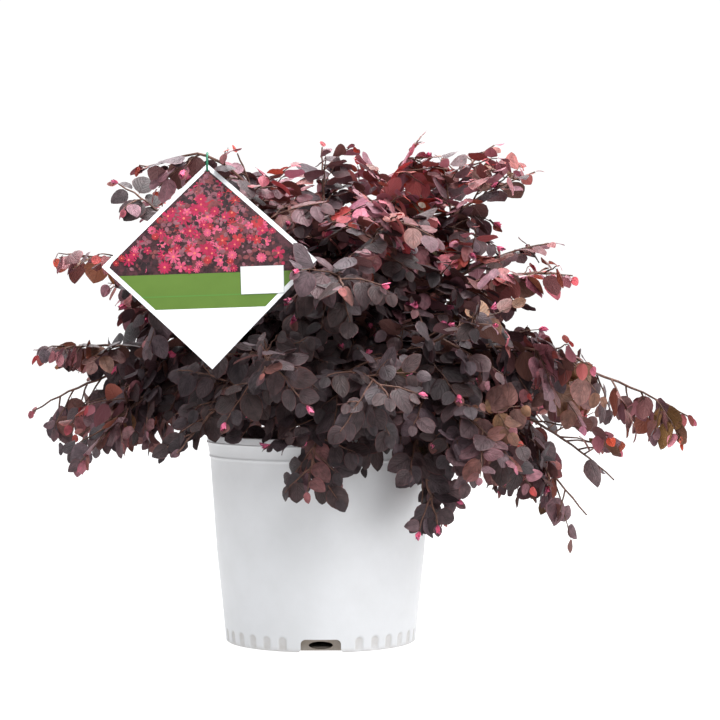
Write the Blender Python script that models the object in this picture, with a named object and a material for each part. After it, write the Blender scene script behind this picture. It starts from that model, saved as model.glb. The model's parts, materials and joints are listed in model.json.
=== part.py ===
# A potted Chinese fringe flower: a purple-leaved shrub in a white nursery pot, with a card tag on a hook.
# Metres, +Z up. The origin is the middle of the pot's flat underside, and the card hangs towards -Y.

import math
import random

import bmesh
import bpy
import numpy as np
from mathutils import Matrix, Vector

UP = Vector((0, 0, 1))
GAP = 0.0003

# Pot
POT_HEIGHT = 0.1965
FOOT_RADIUS = 0.0900
FOOT_ROUND = 0.004
WAIST_RADIUS = 0.0985
WAIST_HEIGHT = 0.086
NECK_RADIUS = 0.1040
NECK_HEIGHT = 0.174
BEAD_RADIUS = 0.1053
BEAD_HEIGHT = 0.0035
BAND_RADIUS = 0.1062
LIP_RADIUS = 0.1080
LIP_HEIGHT = 0.005
LIP_ROUND = 0.001
POT_WALL = 0.0017
POT_FLOOR = 0.0026
BENCH_RADIUS = 0.0715
BENCH_HEIGHT = 0.0155
POT_SEGMENTS = 40

# Drain pockets round the foot, each with an oval hole in its back wall
POCKETS = 3
POCKET_WIDTH = 0.037
POCKET_HEIGHT = 0.012
POCKET_ROUND = 0.004
POCKET_BACK = 0.0735
HOLE_WIDTH = 0.022
HOLE_HEIGHT = 0.0065
HOLE_MIDDLE = 0.0070
HOLE_SEGMENTS = 10

# Potting mix
MIX_TOP = 0.172
MIX_MOUND = 0.004
MIX_FOOT_RADIUS = 0.0690
MIX_SEGMENTS = 24

# Short trunk
TRUNK_TOP = 0.242
TRUNK_RADIUS = 0.0105
TRUNK_LEAN = 0.005
FLARE_RADIUS = 0.017
FLARE_HEIGHT = 0.014
ROOT_WAVE = 0.12
TRUNK_SIDES = 16

# Boughs: one tapering limb each, from the trunk to the fork where its masses start
BOUGH_RADIUS = 0.0034
BOUGH_TIP_RADIUS = 0.0024
BOUGH_SIDES = 6
BOUGH_RINGS = 6
BOUGH_BEND = 0.4
FORK_SHARE = 0.31
FORK_HEIGHT_SHARE = 0.28
FORK_RISE = 0.030
FORK_LOWEST = 0.250
LOWEST_START = 0.189
HIGHEST_START = 0.234
LOWEST_STEEPNESS = 0.55
HIGHEST_STEEPNESS = 2.33
START_BY_HEIGHT = 0.95
STAGGER = 4.5

# The crown: for each bough, the furthest tips of the masses that it carries
CROWN = {
    "left_high": ((-0.251, -0.030, 0.362), (-0.196, -0.020, 0.434), (-0.175, -0.135, 0.335)),
    "left": ((-0.267, -0.050, 0.270), (-0.280, 0.020, 0.213), (-0.223, -0.100, 0.171)),
    "tag": ((-0.166, -0.152, 0.444), (-0.080, -0.060, 0.464)),
    "crest": ((0.001, -0.020, 0.473), (0.020, -0.228, 0.333)),
    "crest_right": ((0.100, 0.030, 0.484), (0.070, -0.170, 0.398)),
    "shoulder": ((0.173, 0.050, 0.476), (0.210, 0.000, 0.446)),
    "right_high": ((0.228, 0.000, 0.377), (0.236, -0.095, 0.344)),
    "right": ((0.252, -0.110, 0.261), (0.355, -0.020, 0.208)),
    "right_low": ((0.252, -0.050, 0.117), (0.292, 0.070, 0.142)),
    "front_right": ((0.107, -0.135, 0.116), (0.176, -0.170, 0.173), (0.155, -0.190, 0.300)),
    "front": ((0.060, -0.240, 0.238), (-0.012, -0.180, 0.150)),
    "front_left": ((-0.050, -0.240, 0.259), (-0.130, -0.170, 0.183)),
    "back_left": ((-0.205, 0.150, 0.330), (-0.235, 0.125, 0.195)),
    "back": ((-0.060, 0.245, 0.345), (-0.105, 0.240, 0.190)),
    "back_right": ((0.095, 0.245, 0.350), (0.050, 0.262, 0.180)),
    "back_far_right": ((0.215, 0.155, 0.340), (0.235, 0.175, 0.190)),
    "back_top": ((-0.095, 0.115, 0.450), (0.110, 0.125, 0.458)),
}
TAG_TWIG_TIP = CROWN["tag"][0]
CROWN_CENTRE = Vector((0.02, 0, 0.24))
CROWN_SIZE = Vector((0.30, 0.25, 0.23))

# Masses: three-sided stem and twigs, eight-faced leaves
ARCH = 0.35
STEM_RADIUS = 0.0019
STEM_TIP_RADIUS = 0.0011
STEM_SPREAD = {2: 1.0, 3: 1.2}
STEM_RINGS = 5
STEM_BEND = 0.33
STEM_PARTING = 0.35
SIDE_TWIGS = 5
FIRST_SIDE = 0.15
LAST_SIDE = 0.70
SIDE_TURN = math.radians(137.5)
SIDE_FLATTEN = 0.75
SIDE_LENGTH = 0.066
SIDE_SHORTENING = 0.35
STEM_BARE = 0.016
TWIG_BARE = 0.010
SIDE_RADIUS = 0.0012
SIDE_TIP_RADIUS = 0.0009
LEAF_LENGTH = 0.052
LEAF_WIDTH = 0.038
LEAF_THICKNESS = 0.0012
LEAF_THICKEST = 0.09
LEAF_FOLD = 0.0025
LEAF_DROOP = 0.0035
LEAF_WIDEST = 0.42
LEAF_TILT = 0.55
LEAF_SKYWARD = 0.35
LEAF_FROM_TIP = 0.003
LEAF_SPACING = 0.021
LEAF_APART = 0.50
LEAF_TRIES = 10
TWIG_TRIES = 7
TRY_TURN = math.radians(52)
TRY_SHORTER = 0.08
TRY_SMALLER = 0.045
CELL_MARGIN = 0.0012
LIMB_CLEARANCE = 0.0012
MADE_CLEARANCE = 0.004
GROUND_CLEARANCE = 0.005
REACH_SLACK = 0.004
TOP_REACH = 0.15
TOP_ROOM = 0.016
TIP_LEAF_SHARE = 0.85

# Card tag, square and hung by one corner, with a ring through it and round the twig that it hangs on
TAG_SIDE = 0.132
TAG_THICKNESS = 0.0008
TAG_MIDDLE = Vector((-0.0966, -0.190, 0.3533))
TAG_TILT = math.radians(-16)
TAG_ROLL = math.radians(2)
TAG_HOLE_RADIUS = 0.0028
TAG_HOLE_INSET = 0.0085
TAG_FREE_CORNER = 0.066
RING_HALF_HEIGHT = 0.0080
RING_HALF_DEPTH = 0.0050
RING_WIRE = 0.0009
RING_SEGMENTS = 16

COLOURS = {
    "pot_plastic": ((0.80, 0.81, 0.83), 0.35),
    "potting_mix": ((0.035, 0.024, 0.017), 0.95),
    "bark": ((0.16, 0.095, 0.06), 0.80),
    "foliage": ((0.085, 0.035, 0.042), 0.50),
    "tag_card": ((0.85, 0.86, 0.85), 0.40),
    "hook_plastic": ((0.01, 0.16, 0.09), 0.40),
}


def material(name):
    made = bpy.data.materials.get(name)
    if made is None:
        colour, roughness = COLOURS[name]
        made = bpy.data.materials.new(name)
        made.use_nodes = True
        shader = made.node_tree.nodes["Principled BSDF"]
        shader.inputs["Base Color"].default_value = (*colour, 1)
        shader.inputs["Roughness"].default_value = roughness
        shader.inputs["Metallic"].default_value = 0
    return made


def new_object(name, mesh, material_name, smooth=False):
    mesh.materials.clear()
    mesh.materials.append(material(material_name))
    if smooth:
        mesh.shade_smooth()
        mesh.set_sharp_from_angle(angle=math.radians(35))
    made = bpy.data.objects.new(name, mesh)
    bpy.context.scene.collection.objects.link(made)
    return made


def mesh_from(name, points, faces):
    mesh = bpy.data.meshes.new(name)
    mesh.from_pydata([tuple(point) for point in points], [], faces)
    body = bmesh.new()
    body.from_mesh(mesh)
    bmesh.ops.recalc_face_normals(body, faces=body.faces)
    body.to_mesh(mesh)
    body.free()
    return mesh


def turned(name, profile, segments):
    """A profile of (radius, height) turned round the Z axis; its two ends lie on the axis."""
    body = bmesh.new()
    points = [body.verts.new((radius, 0, height)) for radius, height in profile]
    edges = [body.edges.new(pair) for pair in zip(points, points[1:])]
    bmesh.ops.spin(
        body, geom=points + edges, cent=(0, 0, 0), axis=UP, angle=math.tau, steps=segments, use_merge=True
    )
    bmesh.ops.remove_doubles(body, verts=body.verts, dist=1e-5)
    bmesh.ops.recalc_face_normals(body, faces=body.faces)
    mesh = bpy.data.meshes.new(name)
    body.to_mesh(mesh)
    body.free()
    return mesh


def cut(target, cutter):
    boolean = target.modifiers.new(cutter.name, "BOOLEAN")
    boolean.operation = "DIFFERENCE"
    boolean.solver = "EXACT"
    boolean.object = cutter
    cutter.hide_render = True
    cutter.display_type = "WIRE"


def apply_modifiers(target):
    """Replaces the object's mesh by what its modifiers make of it."""
    bpy.context.view_layer.update()
    evaluated = target.evaluated_get(bpy.context.evaluated_depsgraph_get())
    mesh = bpy.data.meshes.new_from_object(evaluated)
    target.modifiers.clear()
    target.data = mesh


def bezier(start, out, back, end, count):
    shares = (step / (count - 1) for step in range(count))
    return [
        start * (1 - t) ** 3 + out * 3 * t * (1 - t) ** 2 + back * 3 * t * t * (1 - t) + end * t**3
        for t in shares
    ]


def tangents(path):
    ends = list(zip(path[:1] + path, path[1:] + path[-1:]))
    return [(after - before).normalized() for before, after in ends[:-1]] + [
        (path[-1] - path[-2]).normalized()
    ]


def tube(path, radii, sides, closed=False, seat=None):
    """A tube along a path, as points and faces: its first corners point up, and seat is the way its first end faces."""
    directions = tangents(path)
    if seat:
        directions[0] = seat
    if closed:
        around = path[-1:] + path + path[:1]
        directions = [(after - before).normalized() for before, after in zip(around, around[2:])]
    across = UP if abs(directions[0].z) < 0.97 else Vector((1, 0, 0))
    points = []
    for centre, direction, radius in zip(path, directions, radii):
        across = (across - direction * across.dot(direction)).normalized()
        other = direction.cross(across)
        for side in range(sides):
            angle = math.tau * side / sides
            points.append(centre + (across * math.cos(angle) + other * math.sin(angle)) * radius)
    faces = []
    rings = len(path)
    for ring in range(rings if closed else rings - 1):
        for side in range(sides):
            near, far = ring * sides, (ring + 1) % rings * sides
            turned_on = (side + 1) % sides
            faces.append((near + side, near + turned_on, far + turned_on, far + side))
    if not closed:
        faces.append(tuple(reversed(range(sides))))
        faces.append(tuple(range((rings - 1) * sides, rings * sides)))
    return points, faces


def taper(first, last, count):
    return [first + (last - first) * step / (count - 1) for step in range(count)]


def pot_profile():
    band_foot = NECK_HEIGHT + BEAD_HEIGHT
    lip_foot = POT_HEIGHT - LIP_HEIGHT
    slope = (WAIST_RADIUS - FOOT_RADIUS) / (WAIST_HEIGHT - FOOT_ROUND)
    bench_wall = FOOT_RADIUS + slope * (BENCH_HEIGHT - FOOT_ROUND) - POT_WALL
    return [
        (0, 0),
        (FOOT_RADIUS - FOOT_ROUND, 0),
        (FOOT_RADIUS - FOOT_ROUND * 0.3, FOOT_ROUND * 0.3),
        (FOOT_RADIUS, FOOT_ROUND),
        (WAIST_RADIUS, WAIST_HEIGHT),
        (NECK_RADIUS, NECK_HEIGHT),
        (BEAD_RADIUS, NECK_HEIGHT + BEAD_HEIGHT * 0.3),
        (BEAD_RADIUS, NECK_HEIGHT + BEAD_HEIGHT * 0.7),
        (NECK_RADIUS + 0.0003, band_foot),
        (BAND_RADIUS, lip_foot),
        (LIP_RADIUS, lip_foot + LIP_ROUND),
        (LIP_RADIUS, POT_HEIGHT - LIP_ROUND),
        (LIP_RADIUS - LIP_ROUND, POT_HEIGHT),
        (NECK_RADIUS - POT_WALL + LIP_ROUND, POT_HEIGHT),
        (NECK_RADIUS - POT_WALL, POT_HEIGHT - LIP_ROUND),
        (NECK_RADIUS - POT_WALL, NECK_HEIGHT),
        (WAIST_RADIUS - POT_WALL, WAIST_HEIGHT),
        (bench_wall, BENCH_HEIGHT),
        (BENCH_RADIUS, BENCH_HEIGHT),
        (BENCH_RADIUS, POT_FLOOR),
        (0, POT_FLOOR),
    ]


def pocket_cutter(number):
    """A block with rounded upper corners that reaches in from outside the foot to the pocket's back wall."""
    angle = -math.pi / 2 + math.tau * number / POCKETS
    half = POCKET_WIDTH / 2
    outline = [(-half, -0.01), (half, -0.01)]
    for corner, first in ((half - POCKET_ROUND, 0), (POCKET_ROUND - half, math.pi / 2)):
        for step in range(4):
            turn = first + math.pi / 6 * step
            outline.append(
                (
                    corner + POCKET_ROUND * math.cos(turn),
                    POCKET_HEIGHT - POCKET_ROUND + POCKET_ROUND * math.sin(turn),
                )
            )
    points = [(depth, x, z) for depth in (POCKET_BACK, FOOT_RADIUS + 0.01) for x, z in outline]
    return block_round_axis("pocket_%d" % (number + 1), points, len(outline), angle)


def hole_cutter(number):
    angle = -math.pi / 2 + math.tau * number / POCKETS
    turns = [math.tau * step / HOLE_SEGMENTS for step in range(HOLE_SEGMENTS)]
    outline = [
        (HOLE_WIDTH / 2 * math.cos(turn), HOLE_MIDDLE + HOLE_HEIGHT / 2 * math.sin(turn)) for turn in turns
    ]
    depths = (BENCH_RADIUS - 0.004, POCKET_BACK + 0.002)
    points = [(depth, x, z) for depth in depths for x, z in outline]
    return block_round_axis("drain_hole_%d" % (number + 1), points, len(outline), angle)


def block_round_axis(name, points, count, angle):
    """A prism between two copies of an outline of count points, turned about the Z axis by the angle."""
    faces = [tuple(range(count)), tuple(range(2 * count - 1, count - 1, -1))]
    faces += [(i, (i + 1) % count, count + (i + 1) % count, count + i) for i in range(count)]
    mesh = mesh_from(name, points, faces)
    mesh.transform(Matrix.Rotation(angle, 4, "Z"))
    return new_object(name, mesh, "pot_plastic")


def make_pot():
    pot = new_object("pot", turned("pot", pot_profile(), POT_SEGMENTS), "pot_plastic")
    cutters = []
    for number in range(POCKETS):
        cutters += [pocket_cutter(number), hole_cutter(number)]
    for cutter in cutters:
        cut(pot, cutter)
    apply_modifiers(pot)
    for cutter in cutters:
        bpy.data.objects.remove(cutter)
    pot.data.shade_smooth()
    pot.data.set_sharp_from_angle(angle=math.radians(35))


def make_mix():
    """Potting mix that fills the pot, a little mounded towards the trunk."""
    slope = (NECK_RADIUS - WAIST_RADIUS) / (NECK_HEIGHT - WAIST_HEIGHT)
    inside = POT_WALL + 2 * GAP
    edge = WAIST_RADIUS + slope * (MIX_TOP - WAIST_HEIGHT) - inside
    low_slope = (WAIST_RADIUS - FOOT_RADIUS) / (WAIST_HEIGHT - FOOT_ROUND)
    shelf = FOOT_RADIUS + low_slope * (BENCH_HEIGHT - FOOT_ROUND) - inside
    profile = [
        (0, POT_FLOOR + GAP),
        (MIX_FOOT_RADIUS, POT_FLOOR + GAP),
        (MIX_FOOT_RADIUS, BENCH_HEIGHT + GAP),
        (shelf, BENCH_HEIGHT + GAP),
        (WAIST_RADIUS - inside, WAIST_HEIGHT),
        (edge, MIX_TOP - MIX_MOUND),
        (edge * 0.72, MIX_TOP - MIX_MOUND * 0.3),
        (FLARE_RADIUS * 1.4, MIX_TOP),
        (0, MIX_TOP),
    ]
    new_object("potting_mix", turned("potting_mix", profile, MIX_SEGMENTS), "potting_mix", smooth=True)


def trunk_axis(height):
    """The middle of the trunk at a height: it leans a little towards +X."""
    share = (height - MIX_TOP) / (TRUNK_TOP - MIX_TOP)
    return Vector((TRUNK_LEAN * share * share, 0, height))


def trunk_rings():
    """(height, radius) up the trunk, from the flat cut at the ground to its blunt top."""
    ground = MIX_TOP + GAP
    return [
        (ground, FLARE_RADIUS),
        (ground + FLARE_HEIGHT * 0.35, FLARE_RADIUS * 0.84),
        (ground + FLARE_HEIGHT, TRUNK_RADIUS * 1.12),
        ((ground + TRUNK_TOP) / 2, TRUNK_RADIUS),
        (TRUNK_TOP - 0.004, TRUNK_RADIUS),
        (TRUNK_TOP, TRUNK_RADIUS * 0.72),
    ]


def make_trunk():
    ground = MIX_TOP + GAP
    points = []
    for height, radius in trunk_rings():
        for side in range(TRUNK_SIDES):
            angle = math.tau * side / TRUNK_SIDES
            root = 1 + ROOT_WAVE * math.cos(3 * angle) * max(0, 1 - (height - ground) / FLARE_HEIGHT)
            offset = Vector((math.cos(angle), math.sin(angle), 0)) * radius * root
            points.append(trunk_axis(height) + offset)
    faces = [
        (row + side, row + (side + 1) % TRUNK_SIDES, row + TRUNK_SIDES + (side + 1) % TRUNK_SIDES,
         row + TRUNK_SIDES + side)
        for row in range(0, len(points) - TRUNK_SIDES, TRUNK_SIDES)
        for side in range(TRUNK_SIDES)
    ]
    faces += [tuple(range(TRUNK_SIDES)), tuple(range(len(points) - TRUNK_SIDES, len(points)))]
    new_object("trunk", mesh_from("trunk", points, faces), "bark", smooth=True)


def flat_direction(point):
    return Vector((point.x, point.y, 0)).normalized()


def middle_of(tips):
    return sum((Vector(tip) for tip in tips), Vector()) / len(tips)


def height_of(tips):
    return middle_of(tips).z


def azimuth_of(tips):
    return math.atan2(middle_of(tips).y, middle_of(tips).x)


def rank(tips, measure):
    """The bough's place among all, from 0 to 1, when they are sorted by a measure."""
    return sorted(CROWN.values(), key=measure).index(tips) / (len(CROWN) - 1)


def bough_path(tips):
    """From the trunk's side, up and out in an arch, to the fork below the tips."""
    middle = middle_of(tips)
    outward = flat_direction(middle)
    reach = Vector((middle.x, middle.y, 0)).length * FORK_SHARE
    height = TRUNK_TOP + (middle.z - TRUNK_TOP) * FORK_HEIGHT_SHARE + FORK_RISE
    fork = outward * reach + UP * max(height, FORK_LOWEST)
    stagger = rank(tips, azimuth_of) * STAGGER % 1
    lift = START_BY_HEIGHT * rank(tips, height_of) + (1 - START_BY_HEIGHT) * stagger
    start_height = LOWEST_START + (HIGHEST_START - LOWEST_START) * lift
    steepness = LOWEST_STEEPNESS + (HIGHEST_STEEPNESS - LOWEST_STEEPNESS) * lift
    leave = (outward + UP * steepness).normalized()
    heights, radii = zip(*trunk_rings())
    seat = float(np.interp(start_height, heights, radii)) + 1.5 * GAP + BOUGH_RADIUS * leave.z
    start = trunk_axis(start_height) + outward * seat
    arrive = ((middle - fork).normalized() + UP * ARCH).normalized()
    length = (fork - start).length
    bend = length * BOUGH_BEND
    return bezier(start, start + leave * bend, fork - arrive * bend, fork, BOUGH_RINGS)


def seat_round(arrive, tips, number):
    """The way from the fork's middle to one stem's seat: the stems stand evenly round it, in the order of their tips."""
    spread = [Vector(tip) - middle_of(tips) for tip in tips]
    first = (spread[0] - arrive * spread[0].dot(arrive)).normalized()
    beside = arrive.cross(first)
    turns = [math.atan2(way.dot(beside), way.dot(first)) % math.tau for way in spread]
    turns[0] = 0
    turn = math.tau * sorted(turns).index(turns[number]) / len(tips)
    return first * math.cos(turn) + beside * math.sin(turn)


def stem_path(path, tips, number):
    """From just beyond the bough's end, beside the other stems, in an arch to where the mass's last leaf starts."""
    fork = path[-1]
    arrive = (path[-1] - path[-2]).normalized()
    apart = seat_round(arrive, tips, number)
    beside = STEM_RADIUS * STEM_SPREAD[len(tips)] + GAP
    start = fork + arrive * GAP + apart * beside
    end = ((Vector(tips[number]) - start).normalized() - UP * ARCH).normalized()
    tip = Vector(tips[number]) - end * LEAF_LENGTH * TIP_LEAF_SHARE
    leave = (arrive + apart * STEM_PARTING).normalized()
    if tips[number] == TAG_TWIG_TIP:
        hung = tag_twig_point()
        pass_by = ((tip - hung).normalized() + (hung - start).normalized()).normalized()
        near, far = (hung - start).length * STEM_BEND, (tip - hung).length * STEM_BEND
        half = STEM_RINGS // 2 + 1
        stem = bezier(start, start + leave * near, hung - pass_by * near, hung, half)
        stem += bezier(hung, hung + pass_by * far, tip - end * far, tip, half)[1:]
    else:
        bend = (tip - start).length * STEM_BEND
        stem = bezier(start, start + leave * bend, tip - end * bend, tip, STEM_RINGS)
    return stem


def make_boughs():
    paths = {name: bough_path(tips) for name, tips in CROWN.items()}
    for name, path in paths.items():
        radii = taper(BOUGH_RADIUS, BOUGH_TIP_RADIUS, BOUGH_RINGS)
        mesh = mesh_from("bough_" + name, *tube(path, radii, BOUGH_SIDES))
        new_object("bough_" + name, mesh, "bark", smooth=True)
    return paths


def tag_frame():
    """The card's own axes: right and up along its diagonals, and out of its printed face."""
    turn = Matrix.Rotation(TAG_TILT, 3, "X") @ Matrix.Rotation(-TAG_ROLL, 3, "Y")
    return turn @ Vector((1, 0, 0)), turn @ UP, turn @ Vector((0, -1, 0))


def tag_point(right, up, out=0.0):
    across, along, facing = tag_frame()
    return TAG_MIDDLE + across * right + along * up + facing * out


def hook_places():
    """The middle of the card's hole, and the middle of the ring that goes through it."""
    hole_up = TAG_SIDE / math.sqrt(2) - TAG_HOLE_INSET
    hole = tag_point(0, hole_up)
    edge = tag_point(0, hole_up + TAG_HOLE_RADIUS)
    return hole, edge + UP * (RING_HALF_HEIGHT - RING_WIRE - GAP)


def tag_twig_point():
    """Where the twig that the ring hangs on passes, just under the ring's upper bend."""
    twig_radius = (STEM_RADIUS + STEM_TIP_RADIUS) / 2
    return hook_places()[1] + UP * (RING_HALF_HEIGHT - RING_WIRE - GAP - twig_radius)


def make_tag():
    half = TAG_SIDE / math.sqrt(2)
    corners = [(half, 0), (0, half), (-half, 0), (0, -half)]
    points = [tag_point(x, z, out) for out in (TAG_THICKNESS / 2, -TAG_THICKNESS / 2) for x, z in corners]
    faces = [(0, 1, 2, 3), (7, 6, 5, 4)] + [(i, (i + 1) % 4, 4 + (i + 1) % 4, 4 + i) for i in range(4)]
    tag = new_object("tag", mesh_from("tag", points, faces), "tag_card")
    hole = hook_places()[0]
    facing = tag_frame()[2]
    ends = [hole - facing * 0.003, hole + facing * 0.003]
    punch = new_object("tag_punch", mesh_from("tag_punch", *tube(ends, [TAG_HOLE_RADIUS] * 2, 12)), "tag_card")
    cut(tag, punch)
    apply_modifiers(tag)
    bpy.data.objects.remove(punch)
    ring = hook_places()[1]
    turns = [math.tau * step / RING_SEGMENTS for step in range(RING_SEGMENTS)]
    path = [
        ring + Vector((0, RING_HALF_DEPTH * math.cos(turn), RING_HALF_HEIGHT * math.sin(turn)))
        for turn in turns
    ]
    mesh = mesh_from("tag_hook", *tube(path, [RING_WIRE] * RING_SEGMENTS, 6, closed=True))
    new_object("tag_hook", mesh, "hook_plastic", smooth=True)


def distances(points, path):
    """The shortest distance from each point to a path of straight pieces, and how far along it that is."""
    starts = path[:-1]
    along = path[1:] - starts
    offset = points[:, None, :] - starts[None]
    share = np.clip((offset * along).sum(2) / (along**2).sum(1), 0, 1)
    return np.linalg.norm(offset - share[..., None] * along, axis=2).min(1)


class Space:
    """The room that one mass keeps to: what lies nearer its stem than any other, clear of all the rest."""

    def __init__(self, name, tip, stems, boughs):
        self.own = np.array(stems[name])
        self.reach = max(math.hypot(tip[0], tip[1]), TOP_REACH) + REACH_SLACK
        self.ceiling = max(tip[2], self.own[:, 2].max() + TOP_ROOM) + REACH_SLACK
        self.others = [np.array(path) for other, path in stems.items() if other != name]
        self.limbs = [np.array(path) for path in boughs.values()]
        self.trunk = np.array([trunk_axis(MIX_TOP), trunk_axis(TRUNK_TOP)])
        self.tag_axes = np.array(tag_frame())
        self.ring = np.array(hook_places()[1])

    def holds(self, points):
        points = np.array(points)
        if (np.hypot(points[:, 0], points[:, 1]) > self.reach).any() or (points[:, 2] > self.ceiling).any():
            return False
        near = distances(points, self.own)
        for other in self.others:
            if (distances(points, other) < near + CELL_MARGIN).any():
                return False
        for limb in self.limbs:
            if (distances(points, limb) < BOUGH_RADIUS + LIMB_CLEARANCE).any():
                return False
        if (distances(points, self.trunk) < FLARE_RADIUS + LIMB_CLEARANCE).any():
            return False
        return not (self.meets_pot(points) or self.meets_tag(points))

    def meets_pot(self, points):
        radius = np.hypot(points[:, 0], points[:, 1])
        low = points[:, 2] < POT_HEIGHT + MADE_CLEARANCE
        beside = radius < LIP_RADIUS + MADE_CLEARANCE
        return bool((low & beside).any() or (points[:, 2] < GROUND_CLEARANCE).any())

    def meets_tag(self, points):
        right, up, out = (self.tag_axes @ (points - np.array(TAG_MIDDLE)).T).reshape(3, -1)
        half = TAG_SIDE / math.sqrt(2) + MADE_CLEARANCE
        over = np.abs(right) + np.abs(up) < half
        slab = over & (np.abs(out) < MADE_CLEARANCE)
        hidden = over & (out > 0) & (right < TAG_FREE_CORNER)
        ring = np.linalg.norm(points - self.ring, axis=1) < RING_HALF_HEIGHT + RING_WIRE + MADE_CLEARANCE / 2
        return bool((slab | hidden | ring).any())


def leaf(root, forward, normal, length):
    """Eight faces: a blade folded up along its midrib, thickest near its root, drooping to its tip."""
    side = forward.cross(normal).normalized()
    normal = side.cross(forward).normalized()
    half = side * length * LEAF_WIDTH / LEAF_LENGTH / 2
    widest = root + forward * length * LEAF_WIDEST + normal * LEAF_FOLD
    thickest = root + forward * length * LEAF_THICKEST
    points = [
        root,
        widest - half,
        thickest + normal * LEAF_THICKNESS / 2,
        widest + half,
        thickest - normal * LEAF_THICKNESS / 2,
        root + forward * length - normal * LEAF_DROOP,
    ]
    faces = [(end, a, 1 + a % 4) for a in (1, 2, 3, 4) for end in (0, 5)]
    return points, faces


def spread_over(points, faces):
    """The shape's corners, and the middles of its edges and faces."""
    middles = [(points[a] + points[b]) / 2 for face in faces for a, b in zip(face, face[1:] + face[:1])]
    middles += [sum((points[a] for a in face), Vector()) / len(face) for face in faces]
    return list(points) + middles


def outward_at(point):
    offset = point - CROWN_CENTRE
    return Vector([offset[i] / CROWN_SIZE[i] ** 2 for i in range(3)]).normalized()


def place_leaf(space, rng, root, direction, side, taken):
    """A leaf that leaves its twig to one side, tried a few ways until it keeps to its space."""
    outward = outward_at(root)
    for attempt in range(LEAF_TRIES):
        spread = rng.uniform(0.5, 1.0) if side else 0.0
        lateral = direction.cross(outward).normalized() * side
        sag = UP * (rng.uniform(0.1, 0.5) if side or attempt else 0.1)
        forward = (direction * rng.uniform(0.45, 0.75) + lateral * spread - sag).normalized()
        tilt = Vector([rng.uniform(-LEAF_TILT, LEAF_TILT) for _ in range(3)])
        normal = (outward + UP * LEAF_SKYWARD + tilt).normalized()
        length = LEAF_LENGTH * rng.uniform(0.88, 1.02) * (1 - TRY_SMALLER * attempt)
        points, faces = leaf(root, forward, normal, length)
        middle = root + forward * length * 0.6
        if any((middle - other).length < length * LEAF_APART for other in taken):
            continue
        if space.holds(spread_over(points, faces)[1:]):
            taken.append(middle)
            return points, faces
    return None


def place_twig(space, rng, root, direction, turn, length):
    """A straight side twig that leaves the stem at a turn round it, tried further round and shorter until it keeps to its space."""
    outward = outward_at(root)
    lateral = direction.cross(outward).normalized()
    raised = lateral.cross(direction)
    for attempt in range(TWIG_TRIES):
        angle = turn + TRY_TURN * attempt
        side = lateral * math.cos(angle) + raised * math.sin(angle) * SIDE_FLATTEN
        towards = (direction * rng.uniform(0.5, 0.8) + side).normalized()
        path = [root, root + towards * length * (1 - TRY_SHORTER * attempt)]
        if space.holds([path[0].lerp(path[1], 0.5), path[1]]):
            return path
    return None


def grow(name, path, space):
    """The twigs and leaves of a mass: side twigs left and right in turn, leaves left and right along each."""
    rng = random.Random(name)
    taken = []
    pieces = leaves_along(path, space, rng, taken, STEM_BARE)
    directions = tangents(path)
    for number in range(SIDE_TWIGS):
        share = FIRST_SIDE + (LAST_SIDE - FIRST_SIDE) * number / (SIDE_TWIGS - 1)
        place = share * (len(path) - 1)
        index = int(place)
        root = path[index].lerp(path[index + 1], place - index)
        length = SIDE_LENGTH * (1 - SIDE_SHORTENING * share) * rng.uniform(0.85, 1.1)
        twig = place_twig(space, rng, root, directions[index], number * SIDE_TURN, length)
        leaves = leaves_along(twig, space, rng, taken, TWIG_BARE) if twig else []
        if leaves:
            pieces += [tube(twig, [SIDE_RADIUS, SIDE_TIP_RADIUS], 3)] + leaves
    return pieces


def leaves_along(twig, space, rng, taken, bare):
    found = []
    lengths = [(after - before).length for before, after in zip(twig, twig[1:])]
    total = sum(lengths)
    stations = [total - LEAF_FROM_TIP]
    while stations[-1] - LEAF_SPACING > bare:
        stations.append(stations[-1] - LEAF_SPACING)
    for number, station in enumerate(stations):
        walked = 0
        for before, after, length in zip(twig, twig[1:], lengths):
            if station <= walked + length:
                break
            walked += length
        direction = (after - before).normalized()
        root = before + direction * (station - walked)
        side = 0 if number == 0 else (1 if number % 2 else -1)
        made = place_leaf(space, rng, root, direction, side, taken)
        if made:
            found.append(made)
    return found


def keep_largest(mesh):
    """Drops loose scraps and the walls of sealed hollows, and leaves the one body that holds the stem."""
    body = bmesh.new()
    body.from_mesh(mesh)
    left = set(body.faces)
    islands = []
    while left:
        island = {left.pop()}
        edge_of = list(island)
        while edge_of:
            face = edge_of.pop()
            for edge in face.edges:
                for other in edge.link_faces:
                    if other in left:
                        left.remove(other)
                        island.add(other)
                        edge_of.append(other)
        islands.append(island)
    largest = max(islands, key=lambda island: sum(face.calc_area() for face in island))
    scraps = [face for island in islands if island is not largest for face in island]
    bmesh.ops.delete(body, geom=scraps, context="FACES")
    body.to_mesh(mesh)
    body.free()


def make_mass(name, path, seat, space):
    stem = mesh_from(name, *tube(path, taper(STEM_RADIUS, STEM_TIP_RADIUS, len(path)), 3, seat=seat))
    mass = new_object(name, stem, "foliage")
    parts = bpy.data.collections.new(name + "_parts")
    for points, faces in grow(name, path, space):
        piece = bpy.data.objects.new("piece", mesh_from("piece", points, faces))
        parts.objects.link(piece)
    union = mass.modifiers.new("join", "BOOLEAN")
    union.operation = "UNION"
    union.solver = "MANIFOLD"
    union.operand_type = "COLLECTION"
    union.collection = parts
    apply_modifiers(mass)
    for piece in list(parts.objects):
        bpy.data.objects.remove(piece)
    bpy.data.collections.remove(parts)
    keep_largest(mass.data)
    mass.data.materials.clear()
    mass.data.materials.append(material("foliage"))


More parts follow.
